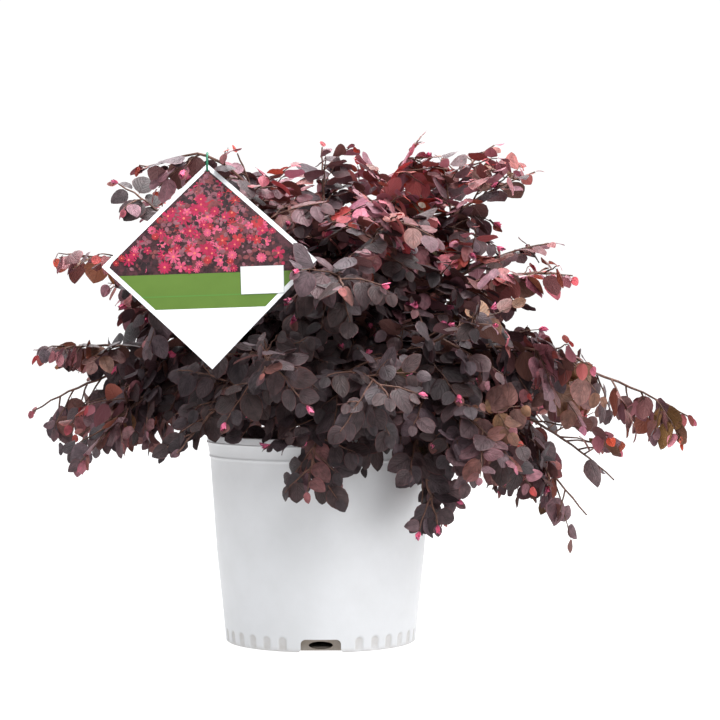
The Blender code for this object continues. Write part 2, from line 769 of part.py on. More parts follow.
def make_masses(boughs):
    stems = {}
    reached = {}
    seats = {}
    for bough, tips in CROWN.items():
        for number in range(len(tips)):
            name = "foliage_%s_%d" % (bough, number + 1)
            stems[name] = stem_path(boughs[bough], tips, number)
            reached[name] = tips[number]
            seats[name] = tangents(boughs[bough])[-1]
    for name, path in stems.items():
        make_mass(name, path, seats[name], Space(name, reached[name], stems, boughs))


def main():
    for found in list(bpy.data.objects):
        bpy.data.objects.remove(found)
    make_pot()
    make_mix()
    make_trunk()
    make_tag()
    make_masses(make_boughs())


main()
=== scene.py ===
# Looks for the potted Chinese fringe flower: white nursery pot, purple-leaved shrub, card tag on a green ring
import json
import math
import random

import bmesh
import bpy
import numpy as np
from mathutils import Matrix, Quaternion, Vector, noise

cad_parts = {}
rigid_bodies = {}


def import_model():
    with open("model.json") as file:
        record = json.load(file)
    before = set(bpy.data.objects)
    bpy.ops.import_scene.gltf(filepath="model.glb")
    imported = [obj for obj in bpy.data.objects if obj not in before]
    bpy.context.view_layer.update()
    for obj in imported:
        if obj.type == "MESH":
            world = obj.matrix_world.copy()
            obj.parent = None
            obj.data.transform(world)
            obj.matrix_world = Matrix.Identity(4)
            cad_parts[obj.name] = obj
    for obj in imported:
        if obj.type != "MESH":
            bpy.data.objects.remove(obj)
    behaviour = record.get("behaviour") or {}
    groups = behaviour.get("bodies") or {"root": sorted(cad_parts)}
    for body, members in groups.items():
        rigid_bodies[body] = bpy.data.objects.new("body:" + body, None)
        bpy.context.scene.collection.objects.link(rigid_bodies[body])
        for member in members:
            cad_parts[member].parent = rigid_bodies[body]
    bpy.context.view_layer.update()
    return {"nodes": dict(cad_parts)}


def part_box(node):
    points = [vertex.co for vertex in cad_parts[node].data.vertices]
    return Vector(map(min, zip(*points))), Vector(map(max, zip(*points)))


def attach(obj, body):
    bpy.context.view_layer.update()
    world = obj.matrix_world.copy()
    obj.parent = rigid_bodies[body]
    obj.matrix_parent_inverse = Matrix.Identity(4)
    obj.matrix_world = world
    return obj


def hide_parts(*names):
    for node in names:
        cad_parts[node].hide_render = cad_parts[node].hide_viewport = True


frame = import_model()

up = Vector((0, 0, 1))
print("frame loaded:", len(frame["nodes"]), "nodes")


# Shared helpers

def cadNodes(start):
    return [name for name in frame["nodes"] if name.startswith(start)]


def addPiece(name, mesh, material, nodes):
    mesh.materials.clear()
    mesh.materials.append(material)
    piece = bpy.data.objects.new(name, mesh)
    bpy.context.scene.collection.objects.link(piece)
    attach(piece, "root")
    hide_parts(*nodes)
    return piece


def meshFromArrays(name, points, quads, triangles=()):
    mesh = bpy.data.meshes.new(name)
    faces = [tuple(face) for face in quads] + [tuple(face) for face in triangles]
    mesh.from_pydata([tuple(point) for point in points], [], faces)
    mesh.shade_smooth()
    return mesh


def bezier(start, out, back, end, count):
    shares = (step / (count - 1) for step in range(count))
    return [
        start * (1 - t) ** 3 + out * 3 * t * (1 - t) ** 2 + back * 3 * t * t * (1 - t) + end * t**3
        for t in shares
    ]


def tangents(path):
    ends = list(zip(path[:1] + path[:-1], path[1:] + path[-1:]))
    return [(after - before).normalized() for before, after in ends]


def taper(first, last, count):
    return [first + (last - first) * step / (count - 1) for step in range(count)]


def lengthOf(path):
    return sum((after - before).length for before, after in zip(path, path[1:]))


def spotOn(path, station):
    # the point and direction at a distance along a path
    walked = 0
    for before, after in zip(path, path[1:]):
        length = (after - before).length
        if station <= walked + length or after is path[-1]:
            direction = (after - before).normalized()
            return before + direction * min(length, station - walked), direction
        walked += length


def addNode(nodes, kind, **values):
    # sockets by name with underscores for spaces, otherwise properties of the node
    node = nodes.new(kind)
    for key, value in values.items():
        socket = key.replace("_", " ")
        if socket in node.inputs:
            node.inputs[socket].default_value = value
        else:
            setattr(node, key, value)
    return node


# Geometry Nodes: one tree for everything that follows a path, one for everything that is strewn

def newTree(name, inputs):
    tree = bpy.data.node_groups.new(name, "GeometryNodeTree")
    tree.interface.new_socket("Geometry", in_out="INPUT", socket_type="NodeSocketGeometry")
    for label, kind in inputs.items():
        tree.interface.new_socket(label, in_out="INPUT", socket_type="NodeSocket" + kind)
    tree.interface.new_socket("Geometry", in_out="OUTPUT", socket_type="NodeSocketGeometry")
    return tree, tree.nodes.new("NodeGroupInput"), tree.nodes.new("NodeGroupOutput")


def readAttribute(nodes, name, kind):
    node = addNode(nodes, "GeometryNodeInputNamedAttribute", data_type=kind, Name=name)
    return node.outputs["Attribute"]


def finishTree(tree, source, result, geometry):
    realize = tree.nodes.new("GeometryNodeRealizeInstances")
    smooth = tree.nodes.new("GeometryNodeSetShadeSmooth")
    paint = tree.nodes.new("GeometryNodeSetMaterial")
    tree.links.new(geometry, realize.inputs[0])
    tree.links.new(realize.outputs[0], smooth.inputs[0])
    tree.links.new(smooth.outputs[0], paint.inputs[0])
    tree.links.new(source.outputs["Material"], paint.inputs["Material"])
    tree.links.new(paint.outputs[0], result.inputs[0])
    return tree


def makeTubeTree():
    # edges of the source mesh become tubes as thick as its "thick" attribute, with a lumpy skin
    kinds = {"Sides": "Int", "Relief": "Float", "Grain": "Vector", "Material": "Material"}
    tree, source, result = newTree("tubesAlongPaths", kinds)
    nodes, links = tree.nodes, tree.links
    curve = nodes.new("GeometryNodeMeshToCurve")
    ring = addNode(nodes, "GeometryNodeCurvePrimitiveCircle", Radius=1.0)
    tube = addNode(nodes, "GeometryNodeCurveToMesh", Fill_Caps=True)
    links.new(source.outputs["Geometry"], curve.inputs[0])
    links.new(source.outputs["Sides"], ring.inputs["Resolution"])
    links.new(curve.outputs[0], tube.inputs["Curve"])
    links.new(ring.outputs[0], tube.inputs["Profile Curve"])
    thick = readAttribute(nodes, "thick", "FLOAT")
    links.new(thick, tube.inputs["Scale"])
    stretched = addNode(nodes, "ShaderNodeVectorMath", operation="MULTIPLY")
    links.new(nodes.new("GeometryNodeInputPosition").outputs[0], stretched.inputs[0])
    links.new(source.outputs["Grain"], stretched.inputs[1])
    lumps = addNode(nodes, "ShaderNodeTexNoise", Scale=1.0, Detail=4.0)
    links.new(stretched.outputs[0], lumps.inputs["Vector"])
    swell = addNode(nodes, "ShaderNodeMath", operation="SUBTRACT")
    swell.inputs[1].default_value = 0.5
    links.new(lumps.outputs[0], swell.inputs[0])
    depth = addNode(nodes, "ShaderNodeMath", operation="MULTIPLY")
    links.new(source.outputs["Relief"], depth.inputs[0])
    links.new(thick, depth.inputs[1])
    push = addNode(nodes, "ShaderNodeMath", operation="MULTIPLY")
    links.new(swell.outputs[0], push.inputs[0])
    links.new(depth.outputs[0], push.inputs[1])
    outward = addNode(nodes, "ShaderNodeVectorMath", operation="SCALE")
    links.new(nodes.new("GeometryNodeInputNormal").outputs[0], outward.inputs[0])
    links.new(push.outputs[0], outward.inputs["Scale"])
    skin = nodes.new("GeometryNodeSetPosition")
    links.new(tube.outputs[0], skin.inputs["Geometry"])
    links.new(outward.outputs[0], skin.inputs["Offset"])
    return finishTree(tree, source, result, skin.outputs[0])


def makeStrewTree():
    # each point of the source mesh carries one of the shapes, turned and sized by the point's attributes
    tree, source, result = newTree("strewShapes", {"Shapes": "Collection", "Material": "Material"})
    nodes, links = tree.nodes, tree.links
    shapes = addNode(nodes, "GeometryNodeCollectionInfo", Separate_Children=True, Reset_Children=True)
    turn = nodes.new("FunctionNodeAxesToRotation")
    strew = addNode(nodes, "GeometryNodeInstanceOnPoints", Pick_Instance=True)
    links.new(source.outputs["Shapes"], shapes.inputs["Collection"])
    links.new(source.outputs["Geometry"], strew.inputs["Points"])
    links.new(shapes.outputs[0], strew.inputs["Instance"])
    links.new(readAttribute(nodes, "shape", "INT"), strew.inputs["Instance Index"])
    turn.primary_axis, turn.secondary_axis = "X", "Z"
    links.new(readAttribute(nodes, "ahead", "FLOAT_VECTOR"), turn.inputs[0])
    links.new(readAttribute(nodes, "facing", "FLOAT_VECTOR"), turn.inputs[1])
    links.new(turn.outputs[0], strew.inputs["Rotation"])
    links.new(readAttribute(nodes, "size", "FLOAT_VECTOR"), strew.inputs["Scale"])
    return finishTree(tree, source, result, strew.outputs[0])


tubeTree = makeTubeTree()
strewTree = makeStrewTree()


def runTree(tree, source, values):
    # the tree's result on the source mesh, as a plain mesh
    holder = bpy.data.objects.new(source.name, source)
    bpy.context.scene.collection.objects.link(holder)
    modifier = holder.modifiers.new(tree.name, "NODES")
    modifier.node_group = tree
    for item in tree.interface.items_tree:
        if item.name in values:
            modifier[item.identifier] = values[item.name]
    bpy.context.view_layer.update()
    mesh = bpy.data.meshes.new_from_object(holder.evaluated_get(bpy.context.evaluated_depsgraph_get()))
    bpy.data.objects.remove(holder)
    for name in ("thick", "shape", "ahead", "facing", "size"):
        if name in mesh.attributes:
            mesh.attributes.remove(mesh.attributes[name])
    return mesh


def pointMesh(name, points, edges, attributes):
    # attributes: name: (kind, values), one value for each point
    mesh = bpy.data.meshes.new(name)
    mesh.from_pydata([tuple(point) for point in points], edges, [])
    for label, (kind, values) in attributes.items():
        layer = mesh.attributes.new(label, kind, "POINT")
        flat = np.asarray(values, np.float32 if kind != "INT" else np.int32).ravel()
        layer.data.foreach_set("vector" if kind == "FLOAT_VECTOR" else "value", flat)
    return mesh


def tubes(name, paths, material, sides, relief=0.0, grain=(300, 300, 300)):
    # paths: list of (points, radii)
    points = [tuple(point) for path, radii in paths for point in path]
    thick = [radius for path, radii in paths for radius in radii]
    edges = []
    first = 0
    for path, radii in paths:
        edges += [(first + step, first + step + 1) for step in range(len(path) - 1)]
        first += len(path)
    source = pointMesh(name, points, edges, {"thick": ("FLOAT", thick)})
    values = {"Sides": sides, "Relief": relief, "Grain": grain, "Material": material}
    return runTree(tubeTree, source, values)


def strew(name, spots, shapes, material):
    # spots: list of (place, ahead, facing, size, shape number); shapes: plain meshes
    holder = bpy.data.collections.new(name)
    bpy.context.scene.collection.children.link(holder)
    for number, mesh in enumerate(shapes):
        holder.objects.link(bpy.data.objects.new("shape%02d" % number, mesh))
    attributes = {
        "ahead": ("FLOAT_VECTOR", [tuple(spot[1]) for spot in spots]),
        "facing": ("FLOAT_VECTOR", [tuple(spot[2]) for spot in spots]),
        "size": ("FLOAT_VECTOR", [tuple(spot[3]) for spot in spots]),
        "shape": ("INT", [spot[4] for spot in spots]),
    }
    source = pointMesh(name, [spot[0] for spot in spots], [], attributes)
    mesh = runTree(strewTree, source, {"Shapes": holder, "Material": material})
    for shape in list(holder.objects):
        bpy.data.objects.remove(shape)
    bpy.data.collections.remove(holder)
    return mesh


# Shader helpers and the groups that several materials share

def newMaterial(name, roughness, specular=0.5):
    made = bpy.data.materials.new(name)
    made.use_nodes = True
    shader = made.node_tree.nodes["Principled BSDF"]
    shader.inputs["Roughness"].default_value = roughness
    shader.inputs["Specular IOR Level"].default_value = specular
    return made, made.node_tree.nodes, made.node_tree.links, shader


def newGroup(name, inputs, outputs):
    tree = bpy.data.node_groups.new(name, "ShaderNodeTree")
    for label, (kind, value) in inputs.items():
        socket = tree.interface.new_socket(label, in_out="INPUT", socket_type="NodeSocket" + kind)
        if value is not None:
            socket.default_value = value
    for label, kind in outputs.items():
        tree.interface.new_socket(label, in_out="OUTPUT", socket_type="NodeSocket" + kind)
    return tree, tree.nodes.new("NodeGroupInput"), tree.nodes.new("NodeGroupOutput")


def placeGroup(nodes, tree, **values):
    node = nodes.new("ShaderNodeGroup")
    node.node_tree = tree
    for key, value in values.items():
        node.inputs[key].default_value = (*value, 1) if isinstance(value, tuple) else value
    return node


def mathNode(nodes, links, operation, *values):
    node = addNode(nodes, "ShaderNodeMath", operation=operation)
    for socket, value in zip(node.inputs, values):
        if hasattr(value, "links"):
            links.new(value, socket)
        else:
            socket.default_value = value
    return node.outputs[0]


def rangeNode(nodes, links, value, fromLow, fromHigh, toLow=0.0, toHigh=1.0):
    node = addNode(nodes, "ShaderNodeMapRange", From_Min=fromLow, From_Max=fromHigh, To_Min=toLow, To_Max=toHigh)
    links.new(value, node.inputs["Value"])
    return node.outputs[0]


def mixColours(nodes, links, factor, first, second):
    node = nodes.new("ShaderNodeMix")
    node.data_type = "RGBA"
    for socket, value in ((node.inputs[0], factor), (node.inputs[6], first), (node.inputs[7], second)):
        if hasattr(value, "links"):
            links.new(value, socket)
        elif isinstance(value, tuple):
            socket.default_value = (*value, 1)
        else:
            socket.default_value = value
    return node.outputs[2]


def addBump(nodes, links, shader, height, strength, distance):
    bump = addNode(nodes, "ShaderNodeBump", Strength=strength, Distance=distance)
    links.new(height, bump.inputs["Height"])
    links.new(bump.outputs["Normal"], shader.inputs["Normal"])


def makeCloudGroup():
    # two shades in soft patches, and the patches as a height
    tree, source, result = newGroup(
        "cloudedShades",
        {
            "Vector": ("Vector", None),
            "Scale": ("Float", 50.0),
            "Detail": ("Float", 4.0),
            "Low": ("Float", 0.35),
            "High": ("Float", 0.65),
            "Dark": ("Color", None),
            "Pale": ("Color", None),
        },
        {"Colour": "Color", "Height": "Float"},
    )
    nodes, links = tree.nodes, tree.links
    cloud = addNode(nodes, "ShaderNodeTexNoise", Roughness=0.6)
    for label in ("Vector", "Scale", "Detail"):
        links.new(source.outputs[label], cloud.inputs[label])
    spread = nodes.new("ShaderNodeMapRange")
    links.new(cloud.outputs[0], spread.inputs["Value"])
    links.new(source.outputs["Low"], spread.inputs["From Min"])
    links.new(source.outputs["High"], spread.inputs["From Max"])
    colour = mixColours(nodes, links, spread.outputs[0], source.outputs["Dark"], source.outputs["Pale"])
    links.new(colour, result.inputs["Colour"])
    links.new(cloud.outputs[0], result.inputs["Height"])
    return tree


def makeVeinGroup():
    # midrib, slanting side veins, rim and stalk from a leaf's own map: x along the leaf, y from edge to edge
    tree, source, result = newGroup(
        "leafVeins",
        {"Vector": ("Vector", None), "Pairs": ("Float", 6.0), "Slant": ("Float", 0.8), "Wander": ("Vector", None)},
        {"Height": "Float", "Mask": "Float", "Rim": "Float", "Stalk": "Float"},
    )
    nodes, links = tree.nodes, tree.links
    split = nodes.new("ShaderNodeSeparateXYZ")
    links.new(source.outputs["Vector"], split.inputs[0])
    across = mathNode(nodes, links, "SUBTRACT", split.outputs[1], 0.5)
    side = mathNode(nodes, links, "ABSOLUTE", across)
    curved = mathNode(nodes, links, "POWER", side, 1.25)
    swept = mathNode(nodes, links, "MULTIPLY", curved, source.outputs["Slant"])
    station = mathNode(nodes, links, "SUBTRACT", split.outputs[0], swept)
    wander = addNode(nodes, "ShaderNodeTexNoise", Scale=120.0, Detail=2.0)
    links.new(source.outputs["Wander"], wander.inputs["Vector"])
    bent = mathNode(nodes, links, "MULTIPLY_ADD", wander.outputs[0], 0.13, station)
    turns = mathNode(nodes, links, "MULTIPLY", bent, source.outputs["Pairs"])
    saw = mathNode(nodes, links, "PINGPONG", turns, 0.5)
    vein = rangeNode(nodes, links, saw, 0.0, 0.14, 1.0, 0.0)
    fade = rangeNode(nodes, links, side, 0.36, 0.48, 1.0, 0.0)
    sideVein = mathNode(nodes, links, "MULTIPLY", vein, fade)
    rib = rangeNode(nodes, links, side, 0.010, 0.040, 1.0, 0.0)
    mask = mathNode(nodes, links, "MAXIMUM", sideVein, rib)
    pillow = mathNode(nodes, links, "MULTIPLY", mask, -1.0)
    links.new(mask, result.inputs["Mask"])
    links.new(pillow, result.inputs["Height"])
    links.new(rangeNode(nodes, links, side, 0.450, 0.490), result.inputs["Rim"])
    links.new(rangeNode(nodes, links, split.outputs[0], 0.08, 0.15, 1.0, 0.0), result.inputs["Stalk"])
    return tree


cloudGroup = makeCloudGroup()
veinGroup = makeVeinGroup()


def cloudedMaterial(name, dark, pale, scale, roughness, specular=0.5, detail=4.0, bump=0.1, depth=0.0004):
    made, nodes, links, shader = newMaterial(name, roughness, specular)
    place = nodes.new("ShaderNodeTexCoord")
    cloud = placeGroup(nodes, cloudGroup, Scale=scale, Detail=detail, Dark=dark, Pale=pale)
    links.new(place.outputs["Object"], cloud.inputs["Vector"])
    links.new(cloud.outputs["Colour"], shader.inputs["Base Color"])
    addBump(nodes, links, shader, cloud.outputs["Height"], bump, depth)
    return made


# Pot: turned wall with a beaded band, shallow arched flutes round the foot and three drain pockets

pot = {
    "footRadius": 0.0900,
    "footRound": 0.0022,
    "waistRadius": 0.0985,
    "waistHeight": 0.086,
    "neckRadius": 0.1046,
    "neckHeight": 0.1735,
    "beadOut": 0.0006,
    "beadHeight": 0.0044,
    "bandFoot": 0.1054,
    "bandUnderLip": 0.0010,
    "lipHeight": 0.0072,
    "lipRidge": 0.0011,
    "wall": 0.0017,
    "floor": 0.0026,
    "benchRadius": 0.0715,
    "benchHeight": 0.0155,
    "segments": 540,
    "pockets": 3,
    "pocketWidth": 0.037,
    "pocketHeight": 0.0122,
    "pocketRound": 0.0045,
    "pocketFlare": 0.0034,
    "pocketBack": 0.0735,
    "holeWidth": 0.0225,
    "holeHeight": 0.0070,
    "holeMiddle": 0.0048,
    "flutesBetween": 8,
    "firstFlute": math.radians(23),
    "fluteWidth": 0.0096,
    "fluteFoot": 0.0020,
    "fluteHeight": 0.0145,
    "fluteDepth": 0.0013,
    "dark": (0.646, 0.651, 0.664),
    "pale": (0.678, 0.683, 0.700),
    # colour of real dirt and of painted shade in the hollows and along the foot
    "dirtAndShade": (0.290, 0.225, 0.160),
    "shallowRecess": 0.00025,
    "deepRecess": 0.0012,
}
potLow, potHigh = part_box("pot")
potHeight = potHigh[2]
lipRadius = potHigh[0]
wallSlope = (pot["waistRadius"] - pot["footRadius"]) / (pot["waistHeight"] - pot["footRound"])


def arcPoints(centre, radius, first, last, count):
    turns = (first + (last - first) * step / (count - 1) for step in range(count))
    return [(centre[0] + radius * math.cos(turn), centre[1] + radius * math.sin(turn)) for turn in turns]


def stretch(start, end, count):
    shares = (step / count for step in range(1, count))
    return [(start[0] + (end[0] - start[0]) * share, start[1] + (end[1] - start[1]) * share) for share in shares]


def potOutline():
    rounding = pot["footRound"]
    foot = (pot["footRadius"] - rounding, rounding)
    fluted = (pot["footRadius"] + wallSlope * 0.016, 0.020)
    waist = (pot["waistRadius"], pot["waistHeight"])
    neck = (pot["neckRadius"], pot["neckHeight"])
    ridge = (lipRadius - pot["lipRidge"], potHeight - pot["lipHeight"])
    inner = pot["neckRadius"] - pot["wall"]
    benchWall = pot["footRadius"] + wallSlope * (pot["benchHeight"] - rounding) - pot["wall"]
    outline = [(0, 0), (pot["footRadius"] - rounding * 2, 0)]
    outline += arcPoints(foot, rounding, -math.pi / 2, 0, 6)
    outline += stretch(outline[-1], fluted, 18)
    outline += stretch(fluted, waist, 6)
    outline += [waist] + stretch(waist, neck, 6) + [neck]
    for step in range(1, 10):
        swell = pot["beadOut"] * math.sin(math.pi * step / 10) ** 2
        lean = (pot["bandFoot"] - pot["neckRadius"]) * step / 10
        outline.append((pot["neckRadius"] + lean + swell, pot["neckHeight"] + pot["beadHeight"] * step / 10))
    outline += [(pot["bandFoot"], pot["neckHeight"] + pot["beadHeight"])]
    outline += [(lipRadius - pot["bandUnderLip"], ridge[1] - pot["lipRidge"] * 1.6)]
    outline += arcPoints(ridge, pot["lipRidge"], -math.pi / 4, math.pi / 3, 6)
    outline += arcPoints((lipRadius - 0.0018, potHeight - 0.0012), 0.0012, 0, math.pi / 2, 5)
    outline += arcPoints((inner + 0.001, potHeight - 0.001), 0.001, math.pi / 2, math.pi, 4)
    outline += [(inner, pot["neckHeight"]), (pot["waistRadius"] - pot["wall"], pot["waistHeight"])]
    outline += [(benchWall, pot["benchHeight"]), (pot["benchRadius"], pot["benchHeight"])]
    outline += [(pot["benchRadius"], pot["floor"]), (0, pot["floor"])]
    return outline


def fluteAngles():
    part = math.tau / pot["pockets"]
    step = (part - 2 * pot["firstFlute"]) / (pot["flutesBetween"] - 1)
    starts = [-math.pi / 2 + part * number + pot["firstFlute"] for number in range(pot["pockets"])]
    return [start + step * number for start in starts for number in range(pot["flutesBetween"])]


def fluteDepthAt(angle, height, flutes):
    # an arch with a narrow sloping edge, fading out towards the foot
    nearest = min(abs((angle - flute + math.pi) % math.tau - math.pi) for flute in flutes)
    across = nearest * pot["footRadius"] / (pot["fluteWidth"] / 2)
    shoulder = pot["fluteHeight"] - pot["fluteWidth"] / 2
    above = max(0, height - shoulder) / (pot["fluteWidth"] / 2)
    edge = min(1, max(0, (1 - math.hypot(across, above)) / 0.34))
    fade = min(1, max(0, height / pot["fluteFoot"]))
    return pot["fluteDepth"] * edge * fade


def blockRoundAxis(name, outline, near, far, angle):
    body = bmesh.new()
    rings = [[body.verts.new((depth, x, z)) for x, z in outline] for depth in (near, far)]
    body.faces.new(rings[0])
    body.faces.new(reversed(rings[1]))
    for index in range(len(outline)):
        after = (index + 1) % len(outline)
        body.faces.new((rings[0][index], rings[0][after], rings[1][after], rings[1][index]))
    bmesh.ops.recalc_face_normals(body, faces=body.faces)
    mesh = bpy.data.meshes.new(name)
    body.to_mesh(mesh)
    body.free()
    mesh.transform(Matrix.Rotation(angle, 4, "Z"))
    block = bpy.data.objects.new(name, mesh)
    bpy.context.scene.collection.objects.link(block)
    return block


def potMaterial():
    made, nodes, links, shader = newMaterial("pot_white_plastic", 0.38)
    place = nodes.new("ShaderNodeTexCoord")
    plain = placeGroup(nodes, cloudGroup, Scale=26.0, Detail=3.0, Dark=pot["dark"], Pale=pot["pale"])
    grimeAndShadePatches = placeGroup(nodes, cloudGroup, Scale=95.0, Detail=5.0, Low=0.38, High=0.66)
    split = nodes.new("ShaderNodeSeparateXYZ")
    for socket in (plain.inputs["Vector"], grimeAndShadePatches.inputs["Vector"], split.inputs[0]):
        links.new(place.outputs["Object"], socket)
    height = split.outputs[2]
    flat = addNode(nodes, "ShaderNodeVectorMath", operation="MULTIPLY")
    flat.inputs[1].default_value = (1, 1, 0)
    links.new(place.outputs["Object"], flat.inputs[0])
    radius = addNode(nodes, "ShaderNodeVectorMath", operation="LENGTH")
    links.new(flat.outputs[0], radius.inputs[0])
    wall = mathNode(nodes, links, "MULTIPLY_ADD", height, wallSlope, pot["footRadius"] - wallSlope * pot["footRound"])
    # darker and browner in the flute and pocket recesses, the deeper ones more, and along the bottom edge: partly real
    # dirt, partly painted shade in the hollows and along the contact line
    recess = mathNode(nodes, links, "SUBTRACT", wall, radius.outputs["Value"])
    sunk = rangeNode(nodes, links, recess, pot["shallowRecess"], pot["deepRecess"])
    nearFoot = rangeNode(nodes, links, height, 0.0175, 0.0145)
    kept = mathNode(nodes, links, "MULTIPLY", sunk, nearFoot)
    patches = mathNode(nodes, links, "MULTIPLY", grimeAndShadePatches.outputs["Height"], 0.55)
    hollow = mathNode(nodes, links, "MULTIPLY", kept, patches)
    deeper = rangeNode(nodes, links, recess, 0.0035, 0.0060, 0.0, 0.45)
    hollowDirtAndShade = mathNode(nodes, links, "MULTIPLY_ADD", deeper, kept, hollow)
    low = rangeNode(nodes, links, height, 0.0045, 0.0, 0.0, 0.55)
    footDirtAndShade = mathNode(nodes, links, "MULTIPLY", low, grimeAndShadePatches.outputs["Height"])
    dirtAndShade = mathNode(nodes, links, "MAXIMUM", hollowDirtAndShade, footDirtAndShade)
    colour = mixColours(nodes, links, dirtAndShade, plain.outputs["Colour"], pot["dirtAndShade"])
    links.new(colour, shader.inputs["Base Color"])
    links.new(rangeNode(nodes, links, dirtAndShade, 0.0, 0.6, 0.38, 0.75), shader.inputs["Roughness"])
    grain = addNode(nodes, "ShaderNodeTexNoise", Scale=420.0, Detail=2.0)
    links.new(place.outputs["Object"], grain.inputs["Vector"])
    addBump(nodes, links, shader, grain.outputs[0], 0.12, 0.0004)
    return made


def makePot():
    body = bmesh.new()
    points = [body.verts.new((radius, 0, height)) for radius, height in potOutline()]
    edges = [body.edges.new(pair) for pair in zip(points, points[1:])]
    bmesh.ops.spin(
        body, geom=points + edges, cent=(0, 0, 0), axis=up, angle=math.tau, steps=pot["segments"], use_merge=True
    )
    bmesh.ops.remove_doubles(body, verts=body.verts, dist=1e-5)
    bmesh.ops.recalc_face_normals(body, faces=body.faces)
    flutes = fluteAngles()
    outer = pot["footRadius"] - pot["wall"]
    for point in body.verts:
        radius = math.hypot(point.co.x, point.co.y)
        if radius > outer and point.co.z < pot["fluteHeight"] * 1.2:
            depth = fluteDepthAt(math.atan2(point.co.y, point.co.x), point.co.z, flutes)
            point.co.x *= 1 - depth / radius
            point.co.y *= 1 - depth / radius
    mesh = bpy.data.meshes.new("nursery_pot")
    body.to_mesh(mesh)
    body.free()
    piece = addPiece("nursery_pot", mesh, potMaterial(), ["pot"])
    half = pot["pocketWidth"] / 2
    corner = pot["pocketRound"]
    flare = pot["pocketFlare"]
    pocket = [(-half - flare, -0.01), (half + flare, -0.01)]
    pocket += reversed(arcPoints((half + flare, flare), flare, math.pi, math.pi * 1.5, 5))
    pocket += arcPoints((half - corner, pot["pocketHeight"] - corner), corner, 0, math.pi / 2, 6)
    pocket += arcPoints((corner - half, pot["pocketHeight"] - corner), corner, math.pi / 2, math.pi, 6)
    pocket += reversed(arcPoints((-half - flare, flare), flare, -math.pi / 2, 0, 5))
    hole = [
        (pot["holeWidth"] / 2 * math.cos(turn), pot["holeMiddle"] + pot["holeHeight"] / 2 * math.sin(turn))
        for turn in (math.tau * step / 28 for step in range(28))
    ]
    cutters = []
    for number in range(pot["pockets"]):
        angle = -math.pi / 2 + math.tau * number / pot["pockets"]
        cutters.append(blockRoundAxis("pocket", pocket, pot["pocketBack"], pot["footRadius"] + 0.01, angle))
        cutters.append(
            blockRoundAxis("hole", hole, pot["benchRadius"] - 0.004, pot["pocketBack"] + 0.002, angle)
        )
    for cutter in cutters:
        boolean = piece.modifiers.new("cut", "BOOLEAN")
        boolean.operation = "DIFFERENCE"
        boolean.solver = "EXACT"
        boolean.object = cutter
    bpy.context.view_layer.update()
    evaluated = piece.evaluated_get(bpy.context.evaluated_depsgraph_get())
    mesh = bpy.data.meshes.new_from_object(evaluated)
    piece.modifiers.clear()
    piece.data = mesh
    for cutter in cutters:
        bpy.data.objects.remove(cutter)
    mesh.shade_smooth()
    mesh.set_sharp_from_angle(angle=math.radians(32))
    print("pot:", len(mesh.polygons), "faces")


# Potting mix: a dark crumbly mound with loose bark chips strewn over it

mix = {
    "rings": 46,
    "segments": 120,
    "crumb": 0.0035,
    "chips": 520,
    "chipLength": (0.005, 0.014),
    "chipBroad": (0.3, 0.6),
    "chipThick": (0.12, 0.25),
    "chipTilt": 0.5,
    "crumbDark": (0.013, 0.009, 0.006),
    "crumbPale": (0.058, 0.038, 0.027),
    "chipDark": (0.043, 0.023, 0.013),
    "chipPale": (0.180, 0.099, 0.057),
}
mixLow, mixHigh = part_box("potting_mix")
mixTop = mixHigh[2]
mixRadius = mixHigh[0]


def mixHeightAt(x, y):
    share = min(1, math.hypot(x, y) / mixRadius)
    mound = mixTop - 0.004 * share**3
    crumbs = noise.fractal(Vector((x, y, 0.3)) * 95, 0.8, 2.1, 4)
    return mound + mix["crumb"] * (crumbs * 0.5 - 0.35)


def chipShapes():
    # a few split slivers of bark, each one unit long, broad and thick
    rng = random.Random("chip shapes")
    faces = [(3, 2, 1, 0), (4, 5, 6, 7), (0, 1, 5, 4), (1, 2, 6, 5), (2, 3, 7, 6), (3, 0, 4, 7)]
    shapes = []
    for number in range(6):
        corners = [
            Vector((x * rng.uniform(0.7, 1.1), y * rng.uniform(0.6, 1.1), z * rng.uniform(0.6, 1.2))) / 2
            for z in (-1, 1)
            for x, y in ((-1, -1), (1, -1), (1, 1), (-1, 1))
        ]
        shapes.append(meshFromArrays("chip", corners, faces))
    return shapes


